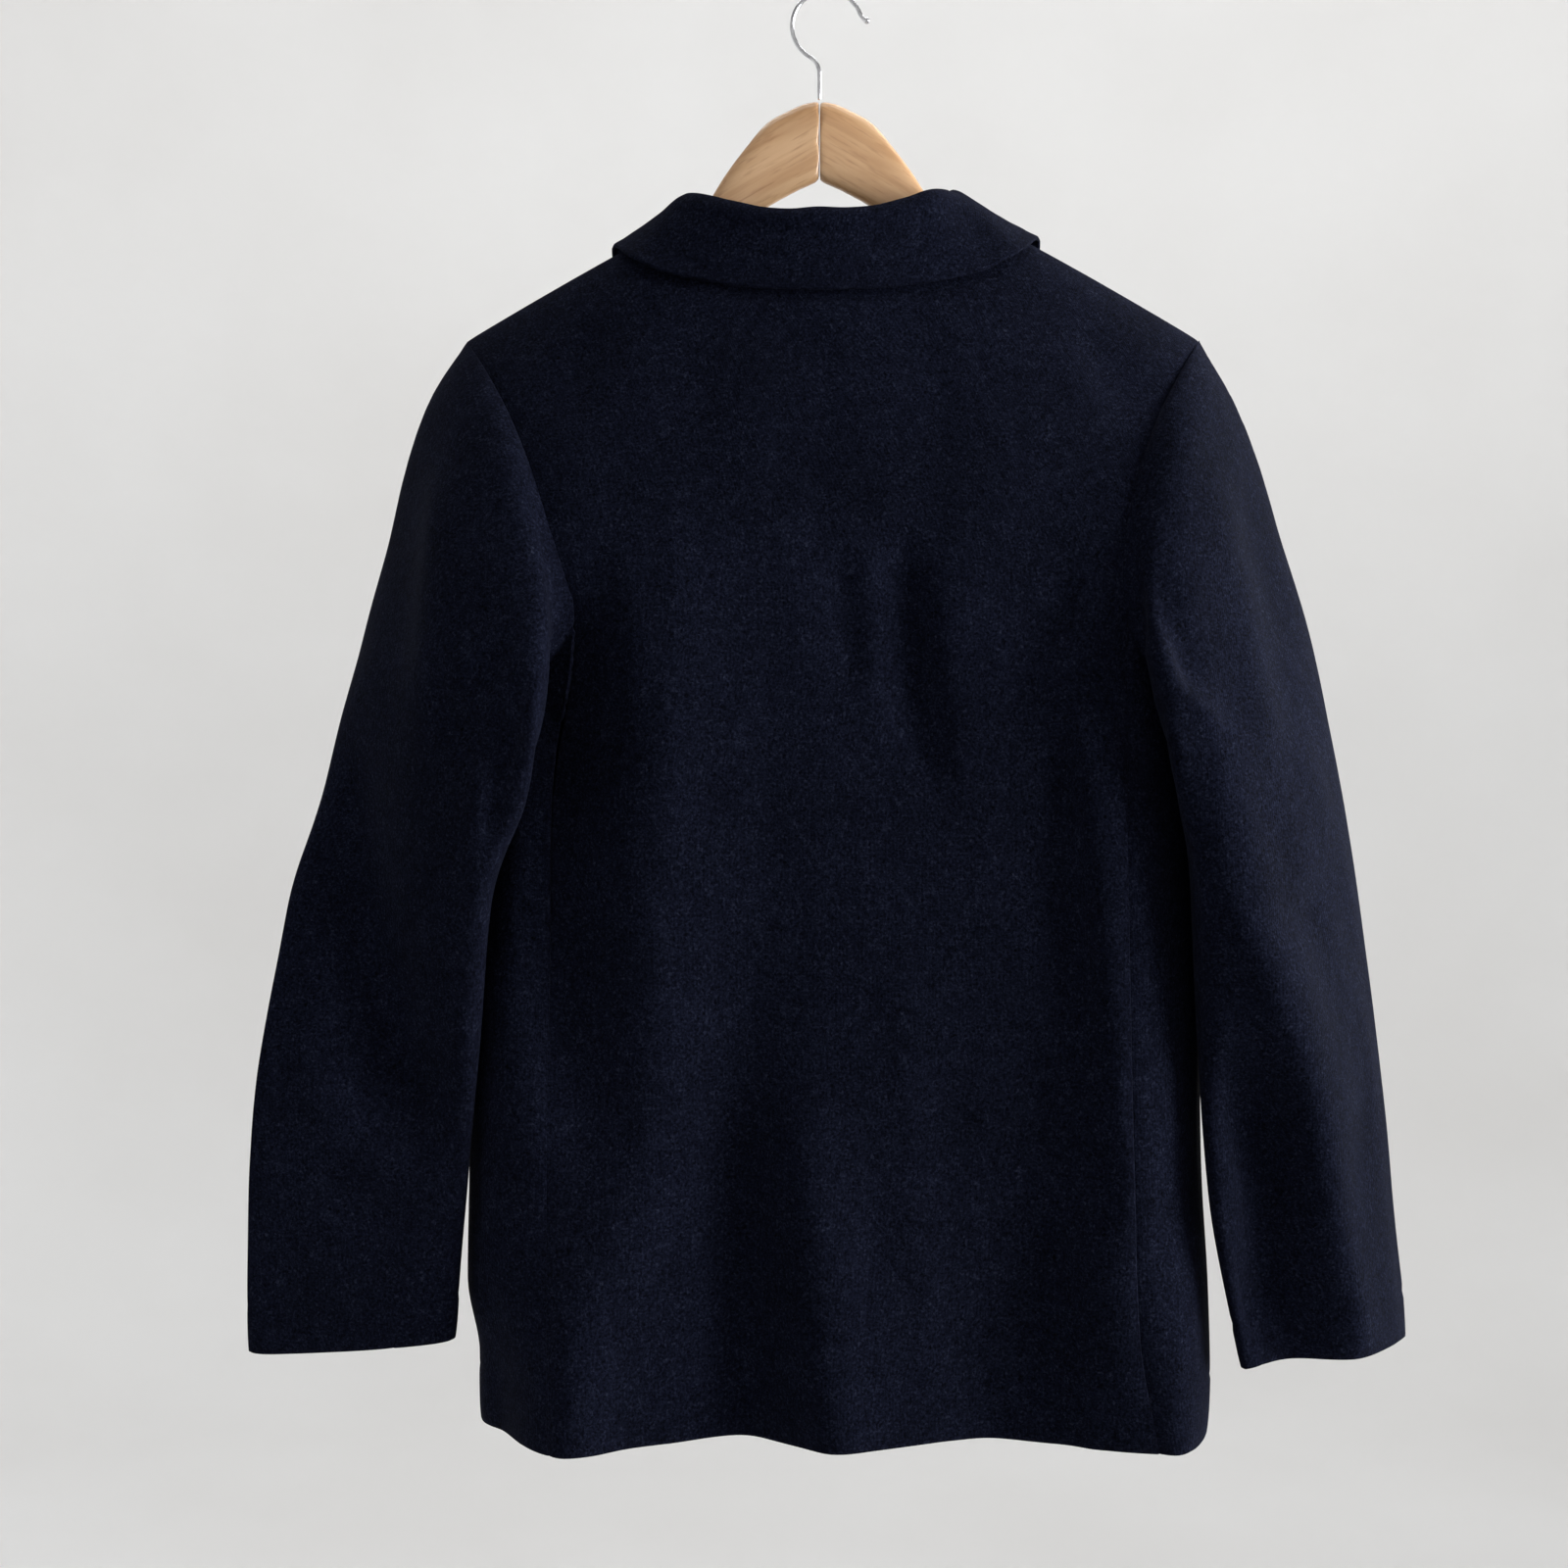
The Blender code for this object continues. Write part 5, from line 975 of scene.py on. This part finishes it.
def fine_lapel(side):
    v = shares(0.26 if side < 0 else 0.19)
    z = LAPEL_START[side] + (GORGE_Z - 0.0008 - LAPEL_START[side]) * v
    p, n, into = edge_frame(side, z)
    if side * into[0, 0] > 0:
        into = -into
    start = p - n * CLOTH / 2 + into * 0.0006
    cols = []
    for turn in np.radians([0, 30, 60, 90, 120, 150, 180]):
        cols.append(start + into * ROLL_R * math.sin(turn) + n * ROLL_R * (1 - math.cos(turn)))
    width = at(LAPEL, "v", "width", v)
    out_x, out_z = -into[:, 0], -into[:, 2]
    for f in np.linspace(0.05, 1.0, 20):
        x, zz = p[:, 0] + out_x * width * f, z + out_z * width * f
        back = np.zeros(len(x), bool)
        lift = 2 * ROLL_R - CLOTH / 2 + overlap_lift(side, x, zz) + 0.0012 * math.sin(math.pi * min(f, 1.0)) * smooth(v / 0.2)
        cols.append(face_point(x, zz, back) + face_normal(x, zz, back) * np.asarray(lift)[:, None])
    mid = np.stack(cols, axis=0)
    normal = grid_normals(mid)
    if normal[-1, len(v) // 2, 1] < 0:
        normal = -normal
    outer = mid + normal * CLOTH / 2
    name = "lapel_cloth_left" if side < 0 else "lapel_cloth_right"
    return sheet_mesh(name, outer, np.full(outer.shape[:2], CLOTH), KNIT["lapel_left" if side < 0 else "lapel_right"],
                      normal_hint=normal)


def fine_collar():
    left = [collar_section(-1, u) for u in COLLAR_U[::-1]]
    right = [collar_section(1, u) for u in COLLAR_U[1:]]
    mid = np.stack(left + right, axis=0)
    normal = grid_normals(mid)
    if normal[len(COLLAR_U) - 1, -1, 1] > 0:
        normal = -normal
    outer = mid + normal * CLOTH / 2
    key = chord_key(outer, 0)
    outer = curve_rows(outer, 0, key, key[-1] * shares(key[-1], step=0.0030))
    key = chord_key(outer, 1)
    outer = curve_rows(outer, 1, key, key[-1] * shares(key[-1], step=0.0024))
    hint = grid_normals(outer)
    if hint[outer.shape[0] // 2, -1, 1] > 0:
        hint = -hint
    du, dv = arc(outer, 0), arc(outer, 1)
    d_edge = np.minimum(np.minimum(du, du[-1:] - du), dv[:, -1:] - dv)
    x = outer[..., 0]
    lift = 0.0006 * ripple(du, dv, 5, 1.2) * smooth(d_edge / 0.02) * smooth(dv / 0.02)
    lift = lift + 0.0007 * smooth(1 - d_edge / 0.008)
    return sheet_mesh("collar_cloth", outer, np.full(outer.shape[:2], CLOTH + 0.0006), KNIT["collar"], lift=lift, normal_hint=hint)
# ---------------------------------------------------------------- materials
def new_material(name):
    mat = bpy.data.materials.new(name)
    mat.use_nodes = True
    return mat, mat.node_tree.nodes, mat.node_tree.links, mat.node_tree.nodes["Principled BSDF"]


def ramp(nodes, stops):
    node = nodes.new("ShaderNodeValToRGB")
    line = node.color_ramp
    while len(line.elements) < len(stops):
        line.elements.new(0.5)
    for element, (where, colour) in zip(line.elements, stops):
        element.position = where
        element.color = (*colour, 1.0) if len(colour) == 3 else colour
    return node


def noise(nodes, links, vector, scale, detail=2.0, rough=0.5, distortion=0.0):
    node = nodes.new("ShaderNodeTexNoise")
    node.inputs["Scale"].default_value = scale
    node.inputs["Detail"].default_value = detail
    node.inputs["Roughness"].default_value = rough
    node.inputs["Distortion"].default_value = distortion
    links.new(vector, node.inputs["Vector"])
    return node


def maths(nodes, links, kind, a, b=None, c=None):
    node = nodes.new("ShaderNodeMath")
    node.operation = kind
    for slot_number, value in enumerate((a, b, c)):
        if value is None:
            continue
        if isinstance(value, (int, float)):
            node.inputs[slot_number].default_value = value
        else:
            links.new(value, node.inputs[slot_number])
    return node.outputs[0]


def spread(nodes, links, value, a, b, c=0.0, d=1.0):
    node = nodes.new("ShaderNodeMapRange")
    node.inputs["From Min"].default_value = a
    node.inputs["From Max"].default_value = b
    node.inputs["To Min"].default_value = c
    node.inputs["To Max"].default_value = d
    links.new(value, node.inputs["Value"])
    return node.outputs["Result"]


def knit_material(name, seed):
    """Felted wool knit: dark heathered fibres, soft nap, faint wales."""
    mat, nodes, links, bsdf = new_material("felted_knit_" + name)
    coord = nodes.new("ShaderNodeTexCoord")
    place = nodes.new("ShaderNodeMapping")
    place.inputs["Location"].default_value = (0.37 * seed, 0.11 * seed, 0.23 * seed)
    links.new(coord.outputs["Object"], place.inputs["Vector"])
    v = place.outputs["Vector"]
    fibre = noise(nodes, links, v, 620.0, 3.0, 0.65, 0.6)
    fuzz = noise(nodes, links, v, 1500.0, 2.0, 0.6)
    clump = noise(nodes, links, v, 150.0, 3.0, 0.6, 0.4)
    patch = noise(nodes, links, v, 22.0, 3.0, 0.55)
    wide = noise(nodes, links, v, 5.0, 2.0, 0.5)
    # colour: dark ground, a share of lighter blue-grey fibres, soft patches
    heather = maths(nodes, links, "ADD", maths(nodes, links, "MULTIPLY", fibre.outputs["Fac"], 0.80),
                    maths(nodes, links, "MULTIPLY", clump.outputs["Fac"], 0.20))
    tone = ramp(nodes, [(0.32, (0.0009, 0.0010, 0.0024)), (0.44, (0.0030, 0.0035, 0.0082)),
                        (0.54, (0.0056, 0.0067, 0.0146)), (0.63, (0.0118, 0.0140, 0.0270)),
                        (0.76, (0.0300, 0.0345, 0.0540))])
    links.new(heather, tone.inputs["Fac"])
    shade = maths(nodes, links, "ADD", spread(nodes, links, patch.outputs["Fac"], 0.25, 0.75, 0.80, 1.12),
                  spread(nodes, links, wide.outputs["Fac"], 0.3, 0.7, -0.06, 0.08))
    mix = nodes.new("ShaderNodeMix")
    mix.data_type = "RGBA"
    mix.blend_type = "MULTIPLY"
    mix.inputs["Factor"].default_value = 1.0
    join = nodes.new("ShaderNodeCombineColor")
    for channel in ("Red", "Green", "Blue"):
        links.new(shade, join.inputs[channel])
    links.new(tone.outputs["Color"], mix.inputs["A"])
    links.new(join.outputs["Color"], mix.inputs["B"])
    links.new(mix.outputs["Result"], bsdf.inputs["Base Color"])
    links.new(spread(nodes, links, fibre.outputs["Fac"], 0.3, 0.7, 0.86, 1.0), bsdf.inputs["Roughness"])
    bsdf.inputs["Specular IOR Level"].default_value = 0.02
    bsdf.inputs["Sheen Weight"].default_value = 0.010
    bsdf.inputs["Sheen Roughness"].default_value = 0.42
    bsdf.inputs["Sheen Tint"].default_value = (0.62, 0.68, 0.92, 1.0)
    # relief: matted fibres over the faint columns of the knit
    uv = nodes.new("ShaderNodeUVMap")
    uv.uv_map = "UVMap"
    part = nodes.new("ShaderNodeSeparateXYZ")
    links.new(uv.outputs["UV"], part.inputs["Vector"])
    wobble = maths(nodes, links, "MULTIPLY", spread(nodes, links, clump.outputs["Fac"], 0.0, 1.0, -1.0, 1.0), 0.0011)
    across = maths(nodes, links, "ADD", part.outputs["X"], wobble)
    wales = maths(nodes, links, "SINE", maths(nodes, links, "MULTIPLY", across, 2 * math.pi / 0.0021))
    rows = maths(nodes, links, "SINE", maths(nodes, links, "MULTIPLY", part.outputs["Y"], 2 * math.pi / 0.0016))
    stitch = maths(nodes, links, "MULTIPLY", maths(nodes, links, "ADD", wales, maths(nodes, links, "MULTIPLY", rows, 0.45)), 0.06)
    felt = maths(nodes, links, "ADD", maths(nodes, links, "MULTIPLY", fibre.outputs["Fac"], 0.75),
                 maths(nodes, links, "MULTIPLY", fuzz.outputs["Fac"], 0.35))
    felt = maths(nodes, links, "ADD", felt, maths(nodes, links, "MULTIPLY", clump.outputs["Fac"], 0.45))
    height = maths(nodes, links, "ADD", felt, stitch)
    bump = nodes.new("ShaderNodeBump")
    bump.inputs["Strength"].default_value = 0.55
    bump.inputs["Distance"].default_value = 0.0011
    links.new(height, bump.inputs["Height"])
    broad = nodes.new("ShaderNodeBump")
    broad.inputs["Strength"].default_value = 0.35
    broad.inputs["Distance"].default_value = 0.004
    links.new(patch.outputs["Fac"], broad.inputs["Height"])
    links.new(broad.outputs["Normal"], bump.inputs["Normal"])
    links.new(bump.outputs["Normal"], bsdf.inputs["Normal"])
    return mat


def wood_material(side):
    """Light hardwood under clear varnish; the grain runs along the arm."""
    mat, nodes, links, bsdf = new_material("varnished_wood_" + ("left" if side < 0 else "right"))
    coord = nodes.new("ShaderNodeTexCoord")
    turn = nodes.new("ShaderNodeMapping")
    turn.inputs["Rotation"].default_value = (0.0, math.radians(-30.0 * side), 0.0)
    turn.inputs["Location"].default_value = (0.31 * side, 0.07, 0.0)
    links.new(coord.outputs["Object"], turn.inputs["Vector"])
    stretch = nodes.new("ShaderNodeMapping")
    stretch.inputs["Scale"].default_value = (0.09, 1.0, 1.0)
    links.new(turn.outputs["Vector"], stretch.inputs["Vector"])
    v = stretch.outputs["Vector"]
    figure = noise(nodes, links, v, 70.0, 4.0, 0.55, 0.8)
    pores = noise(nodes, links, v, 620.0, 2.0, 0.5)
    wide = noise(nodes, links, coord.outputs["Object"], 16.0, 2.0, 0.5)
    mixed = maths(nodes, links, "ADD", maths(nodes, links, "MULTIPLY", figure.outputs["Fac"], 0.72),
                  maths(nodes, links, "MULTIPLY", wide.outputs["Fac"], 0.28))
    tone = ramp(nodes, [(0.28, (0.40, 0.205, 0.085)), (0.44, (0.56, 0.315, 0.150)),
                        (0.58, (0.68, 0.420, 0.225)), (0.78, (0.77, 0.520, 0.300))])
    links.new(mixed, tone.inputs["Fac"])
    mix = nodes.new("ShaderNodeMix")
    mix.data_type = "RGBA"
    mix.blend_type = "MULTIPLY"
    links.new(spread(nodes, links, pores.outputs["Fac"], 0.56, 0.74, 0.0, 0.45), mix.inputs["Factor"])
    links.new(tone.outputs["Color"], mix.inputs["A"])
    mix.inputs["B"].default_value = (0.55, 0.40, 0.28, 1.0)
    links.new(mix.outputs["Result"], bsdf.inputs["Base Color"])
    links.new(spread(nodes, links, figure.outputs["Fac"], 0.3, 0.7, 0.30, 0.42), bsdf.inputs["Roughness"])
    bsdf.inputs["Coat Weight"].default_value = 0.75
    bsdf.inputs["Coat Roughness"].default_value = 0.10
    bump = nodes.new("ShaderNodeBump")
    bump.inputs["Strength"].default_value = 0.25
    bump.inputs["Distance"].default_value = 0.0004
    links.new(figure.outputs["Fac"], bump.inputs["Height"])
    links.new(bump.outputs["Normal"], bsdf.inputs["Normal"])
    return mat


def metal_material():
    """Bright plated wire with fine draw marks and dull spots."""
    mat, nodes, links, bsdf = new_material("plated_wire")
    coord = nodes.new("ShaderNodeTexCoord")
    fine = noise(nodes, links, coord.outputs["Object"], 900.0, 3.0, 0.6)
    spots = noise(nodes, links, coord.outputs["Object"], 160.0, 3.0, 0.6)
    tone = ramp(nodes, [(0.35, (0.50, 0.50, 0.52)), (0.60, (0.74, 0.74, 0.76)), (0.80, (0.82, 0.82, 0.83))])
    links.new(spots.outputs["Fac"], tone.inputs["Fac"])
    links.new(tone.outputs["Color"], bsdf.inputs["Base Color"])
    bsdf.inputs["Metallic"].default_value = 1.0
    links.new(spread(nodes, links, spots.outputs["Fac"], 0.35, 0.75, 0.22, 0.09), bsdf.inputs["Roughness"])
    bump = nodes.new("ShaderNodeBump")
    bump.inputs["Strength"].default_value = 0.15
    bump.inputs["Distance"].default_value = 0.0001
    links.new(fine.outputs["Fac"], bump.inputs["Height"])
    links.new(bump.outputs["Normal"], bsdf.inputs["Normal"])
    return mat


def button_material():
    """Dark polished resin, faintly clouded like horn."""
    mat, nodes, links, bsdf = new_material("dark_resin")
    coord = nodes.new("ShaderNodeTexCoord")
    cloud = noise(nodes, links, coord.outputs["Object"], 190.0, 4.0, 0.6, 1.2)
    fine = noise(nodes, links, coord.outputs["Object"], 1400.0, 2.0, 0.5)
    tone = ramp(nodes, [(0.35, (0.006, 0.006, 0.008)), (0.58, (0.016, 0.015, 0.017)), (0.78, (0.045, 0.038, 0.034))])
    links.new(cloud.outputs["Fac"], tone.inputs["Fac"])
    links.new(tone.outputs["Color"], bsdf.inputs["Base Color"])
    links.new(spread(nodes, links, fine.outputs["Fac"], 0.3, 0.7, 0.28, 0.46), bsdf.inputs["Roughness"])
    bump = nodes.new("ShaderNodeBump")
    bump.inputs["Strength"].default_value = 0.10
    bump.inputs["Distance"].default_value = 0.0001
    links.new(fine.outputs["Fac"], bump.inputs["Height"])
    links.new(bump.outputs["Normal"], bsdf.inputs["Normal"])
    return mat


def thread_material():
    mat, nodes, links, bsdf = new_material("sewing_thread")
    coord = nodes.new("ShaderNodeTexCoord")
    twist = noise(nodes, links, coord.outputs["Object"], 2600.0, 2.0, 0.6)
    tone = ramp(nodes, [(0.35, (0.004, 0.004, 0.006)), (0.70, (0.018, 0.019, 0.026))])
    links.new(twist.outputs["Fac"], tone.inputs["Fac"])
    links.new(tone.outputs["Color"], bsdf.inputs["Base Color"])
    bsdf.inputs["Roughness"].default_value = 0.75
    bump = nodes.new("ShaderNodeBump")
    bump.inputs["Strength"].default_value = 0.5
    bump.inputs["Distance"].default_value = 0.0002
    links.new(twist.outputs["Fac"], bump.inputs["Height"])
    links.new(bump.outputs["Normal"], bsdf.inputs["Normal"])
    return mat


def stage_material():
    mat, nodes, links, bsdf = new_material("pale_plaster")
    coord = nodes.new("ShaderNodeTexCoord")
    wide = noise(nodes, links, coord.outputs["Object"], 1.2, 3.0, 0.5)
    tone = ramp(nodes, [(0.3, (0.78, 0.775, 0.77)), (0.7, (0.83, 0.83, 0.83))])
    links.new(wide.outputs["Fac"], tone.inputs["Fac"])
    links.new(tone.outputs["Color"], bsdf.inputs["Base Color"])
    bsdf.inputs["Roughness"].default_value = 0.9
    bsdf.inputs["Specular IOR Level"].default_value = 0.2
    return mat


# ---------------------------------------------------------------- build
def dense_neck_line():
    x = NECK_X + NECK_HALF * np.linspace(-1, 1, 161)
    z = neckline_z(x)
    return body(back_k(x, z), z)


def dense_front_line(side):
    top = float(ridge_z(np.array(NECK_X + side * NECK_HALF)))
    z = np.linspace(BREAK_Z + 0.012, top, 140)
    x = front_edge_x(side, z)
    p = body(front_k(x, z, side), z)
    p[:, 1] += overlap_lift(side, p[:, 0], p[:, 2])
    return p


NECK_LINE = dense_neck_line()
FRONT_LINE = {side: dense_front_line(side) for side in (-1, 1)}
CLOTH_NODES = ("back", "front_left", "front_right", "lapel_left", "lapel_right", "collar",
               "top_sleeve_left", "top_sleeve_right", "under_sleeve_left", "under_sleeve_right")
KNIT = {node: knit_material(node, i + 1) for i, node in enumerate(CLOTH_NODES)}

pieces = {"back": fine_back(), "collar": fine_collar()}
for side, word in ((-1, "left"), (1, "right")):
    pieces["front_" + word] = fine_front(side)
    pieces["lapel_" + word] = fine_lapel(side)
    pieces["top_sleeve_" + word] = fine_sleeve(side, True)
    pieces["under_sleeve_" + word] = fine_sleeve(side, False)

# each piece hangs under the root body, and its CAD part is hidden
for node, piece in pieces.items():
    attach(piece, "root")
    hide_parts(node)

# carried-over nodes: smooth surfaces over the CAD's own shape
nodes = frame["nodes"]


def dress(node, mat, levels, sharp=None):
    ob = nodes[node]
    ob.data.materials.clear()
    ob.data.materials.append(mat)
    for slot_number in range(len(ob.material_slots)):
        ob.material_slots[slot_number].material = mat
    weld = ob.modifiers.new("join_faces", "WELD")
    weld.merge_threshold = 0.00002
    if levels:
        round_off = ob.modifiers.new("round_off", "SUBSURF")
        round_off.levels = round_off.render_levels = levels
    ob.data.polygons.foreach_set("use_smooth", np.ones(len(ob.data.polygons), bool))


for side, node in ((-1, "hanger_half_left"), (1, "hanger_half_right")):
    dress(node, wood_material(side), 2)
dress("hook", metal_material(), 2)
RESIN = button_material()
for number in (1, 2, 3):
    dress("button_%d" % number, RESIN, 0)


# thread through the buttons, and the stitched buttonholes beside them
def tube(name, path, radius, mat, sides=8):
    path = np.array(path, float)
    run = unit(np.gradient(path, axis=0))
    ref = np.array([0.0, 1.0, 0.0])
    across = unit(np.cross(run, ref))
    up = unit(np.cross(across, run))
    verts, faces = [], []
    for q, a, b, taper in zip(path, across, up, [0.6] + [1.0] * (len(path) - 2) + [0.6]):
        for s in range(sides):
            g = 2 * math.pi * s / sides
            verts.append(tuple(q + radius * taper * (a * math.cos(g) + b * math.sin(g))))
    n = len(path)
    for i in range(n - 1):
        for s in range(sides):
            k = (s + 1) % sides
            faces.append((i * sides + s, i * sides + k, (i + 1) * sides + k, (i + 1) * sides + s))
    faces.append(tuple(range(sides))[::-1])
    faces.append(tuple((n - 1) * sides + s for s in range(sides)))
    return verts, faces, mat


def add_tubes(name, tubes):
    verts, faces = [], []
    for v, f, mat in tubes:
        k = len(verts)
        verts += v
        faces += [tuple(i + k for i in face) for face in f]
    mesh = bpy.data.meshes.new(name)
    mesh.from_pydata(verts, [], faces)
    mesh.polygons.foreach_set("use_smooth", np.ones(len(mesh.polygons), bool))
    mesh.materials.append(tubes[0][2])
    mesh.update()
    ob = bpy.data.objects.new(name, mesh)
    bpy.context.scene.collection.objects.link(ob)
    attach(ob, "root")
    return ob


THREAD = thread_material()
for number, z in enumerate(BUTTON_Z):
    low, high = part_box("button_%d" % (number + 1))
    face_y = low.y + 0.62 * (high.y - low.y)
    cx, cz = (low.x + high.x) / 2, (low.z + high.z) / 2
    bars = []
    for dz in (-0.0019, 0.0019):
        for shift in (-0.00022, 0.00022):
            path = []
            for s in np.linspace(-1, 1, 9):
                path.append((cx + 0.0020 * s, face_y + 0.0005 - 0.0011 * abs(s) ** 4, cz + dz + shift))
            bars.append(tube("bar", path, 0.00024, THREAD))
    add_tubes("thread_%d" % (number + 1), bars)
    # a row of short stitches round the slit that runs out from the button
    stitches = []
    edge_x = CENTRE_X - 0.0035 * 0
    xs = np.concatenate([np.linspace(0.0112, 0.0165, 9)])
    for row in (-1, 1):
        for s, dx in enumerate(xs):
            x0 = CENTRE_X + dx
            zz = z + row * 0.0006
            q = [face_point(np.array(x0), np.array(zz + row * h), np.array(False)) for h in (0.0, 0.0007, 0.0014)]
            y_lift = float(overlap_lift(-1, np.array(x0), np.array(zz))) + 0.0003
            lift = (0.0000, 0.0003, -0.0001)
            stitches.append(tube("s", [(a[0], a[1] + y_lift + l, a[2]) for a, l in zip(q, lift)], 0.00025, THREAD, 6))
    add_tubes("buttonhole_%d" % (number + 1), stitches)

# ---------------------------------------------------------------- stage
def build_stage():
    """Pale studio bowl: flat floor that turns up into a wall all round."""
    profile = [(0.0, -1.62), (0.8, -1.62), (1.6, -1.62), (2.4, -1.62)]
    for a in np.linspace(0, math.pi / 2, 12):
        profile.append((2.6 + 1.3 * math.sin(a), -0.32 - 1.3 * math.cos(a)))
    profile += [(3.9, 0.6), (3.9, 1.8), (3.9, 3.2)]
    steps = 72
    verts, faces, rings = [], [], []
    for r, z in profile:
        if r == 0.0:
            rings.append([len(verts)])
            verts.append((0.0, 0.0, z))
            continue
        rings.append(list(range(len(verts), len(verts) + steps)))
        for s in range(steps):
            a = 2 * math.pi * s / steps
            verts.append((r * math.cos(a), r * math.sin(a), z))
    for low, high in zip(rings, rings[1:]):
        for s in range(steps):
            k = (s + 1) % steps
            if len(low) == 1:
                faces.append((low[0], high[s], high[k]))
            else:
                faces.append((low[s], high[s], high[k], low[k]))
    mesh = bpy.data.meshes.new("studio_bowl")
    mesh.from_pydata(verts, [], faces)
    mesh.polygons.foreach_set("use_smooth", np.ones(len(mesh.polygons), bool))
    mesh.materials.append(stage_material())
    ob = bpy.data.objects.new("studio_bowl", mesh)
    bpy.context.scene.collection.objects.link(ob)


build_stage()


def lamp(name, place, target, size, power, colour, spread_angle=180.0):
    data = bpy.data.lights.new(name, "AREA")
    data.shape = "RECTANGLE"
    data.size, data.size_y = size
    data.energy = power
    data.color = colour
    data.spread = math.radians(spread_angle)
    ob = bpy.data.objects.new(name, data)
    ob.location = place
    ob.rotation_euler = (Vector(target) - Vector(place)).to_track_quat("-Z", "Y").to_euler()
    ob.visible_camera = False
    bpy.context.scene.collection.objects.link(ob)


MIDDLE = (0.0, 0.0, -0.45)
lamp("window_right", (2.30, -0.66, -0.26), MIDDLE, (1.5, 1.9), 17.5, (0.96, 0.98, 1.0), 60.0)
lamp("window_far_side", (2.10, 0.95, 0.15), MIDDLE, (1.0, 1.6), 8.5, (0.96, 0.98, 1.0), 60.0)
lamp("room_behind_camera", (0.9, -3.0, 0.8), MIDDLE, (3.0, 2.0), 2.5, (1.0, 0.99, 0.98))
lamp("wall_wash", (0.2, 0.9, 2.3), (0.1, 3.9, -1.1), (3.6, 1.2), 90.0, (1.0, 0.995, 0.985))
lamp("wall_wash_far_side", (0.2, -0.9, 2.3), (0.1, -3.9, -1.1), (3.6, 1.2), 34.0, (1.0, 0.995, 0.985))

world = bpy.data.worlds.new("pale_room")
bpy.context.scene.world = world
world.use_nodes = True
world.node_tree.nodes["Background"].inputs["Color"].default_value = (0.96, 0.98, 1.0, 1.0)
world.node_tree.nodes["Background"].inputs["Strength"].default_value = 0.06

camera_data = bpy.data.cameras.new("photo_camera")
camera_data.sensor_width = 36.0
camera_data.lens = 36.0 * 2047.0 / 1600.0
camera_data.clip_start, camera_data.clip_end = 0.02, 30.0
camera = bpy.data.objects.new("photo_camera", camera_data)
camera.location = (-0.0257, -1.195, -0.4711)
camera.rotation_euler = (math.pi / 2, 0.0, 0.0)
bpy.context.scene.collection.objects.link(camera)
bpy.context.scene.camera = camera
bpy.context.scene.view_settings.view_transform = "Standard"
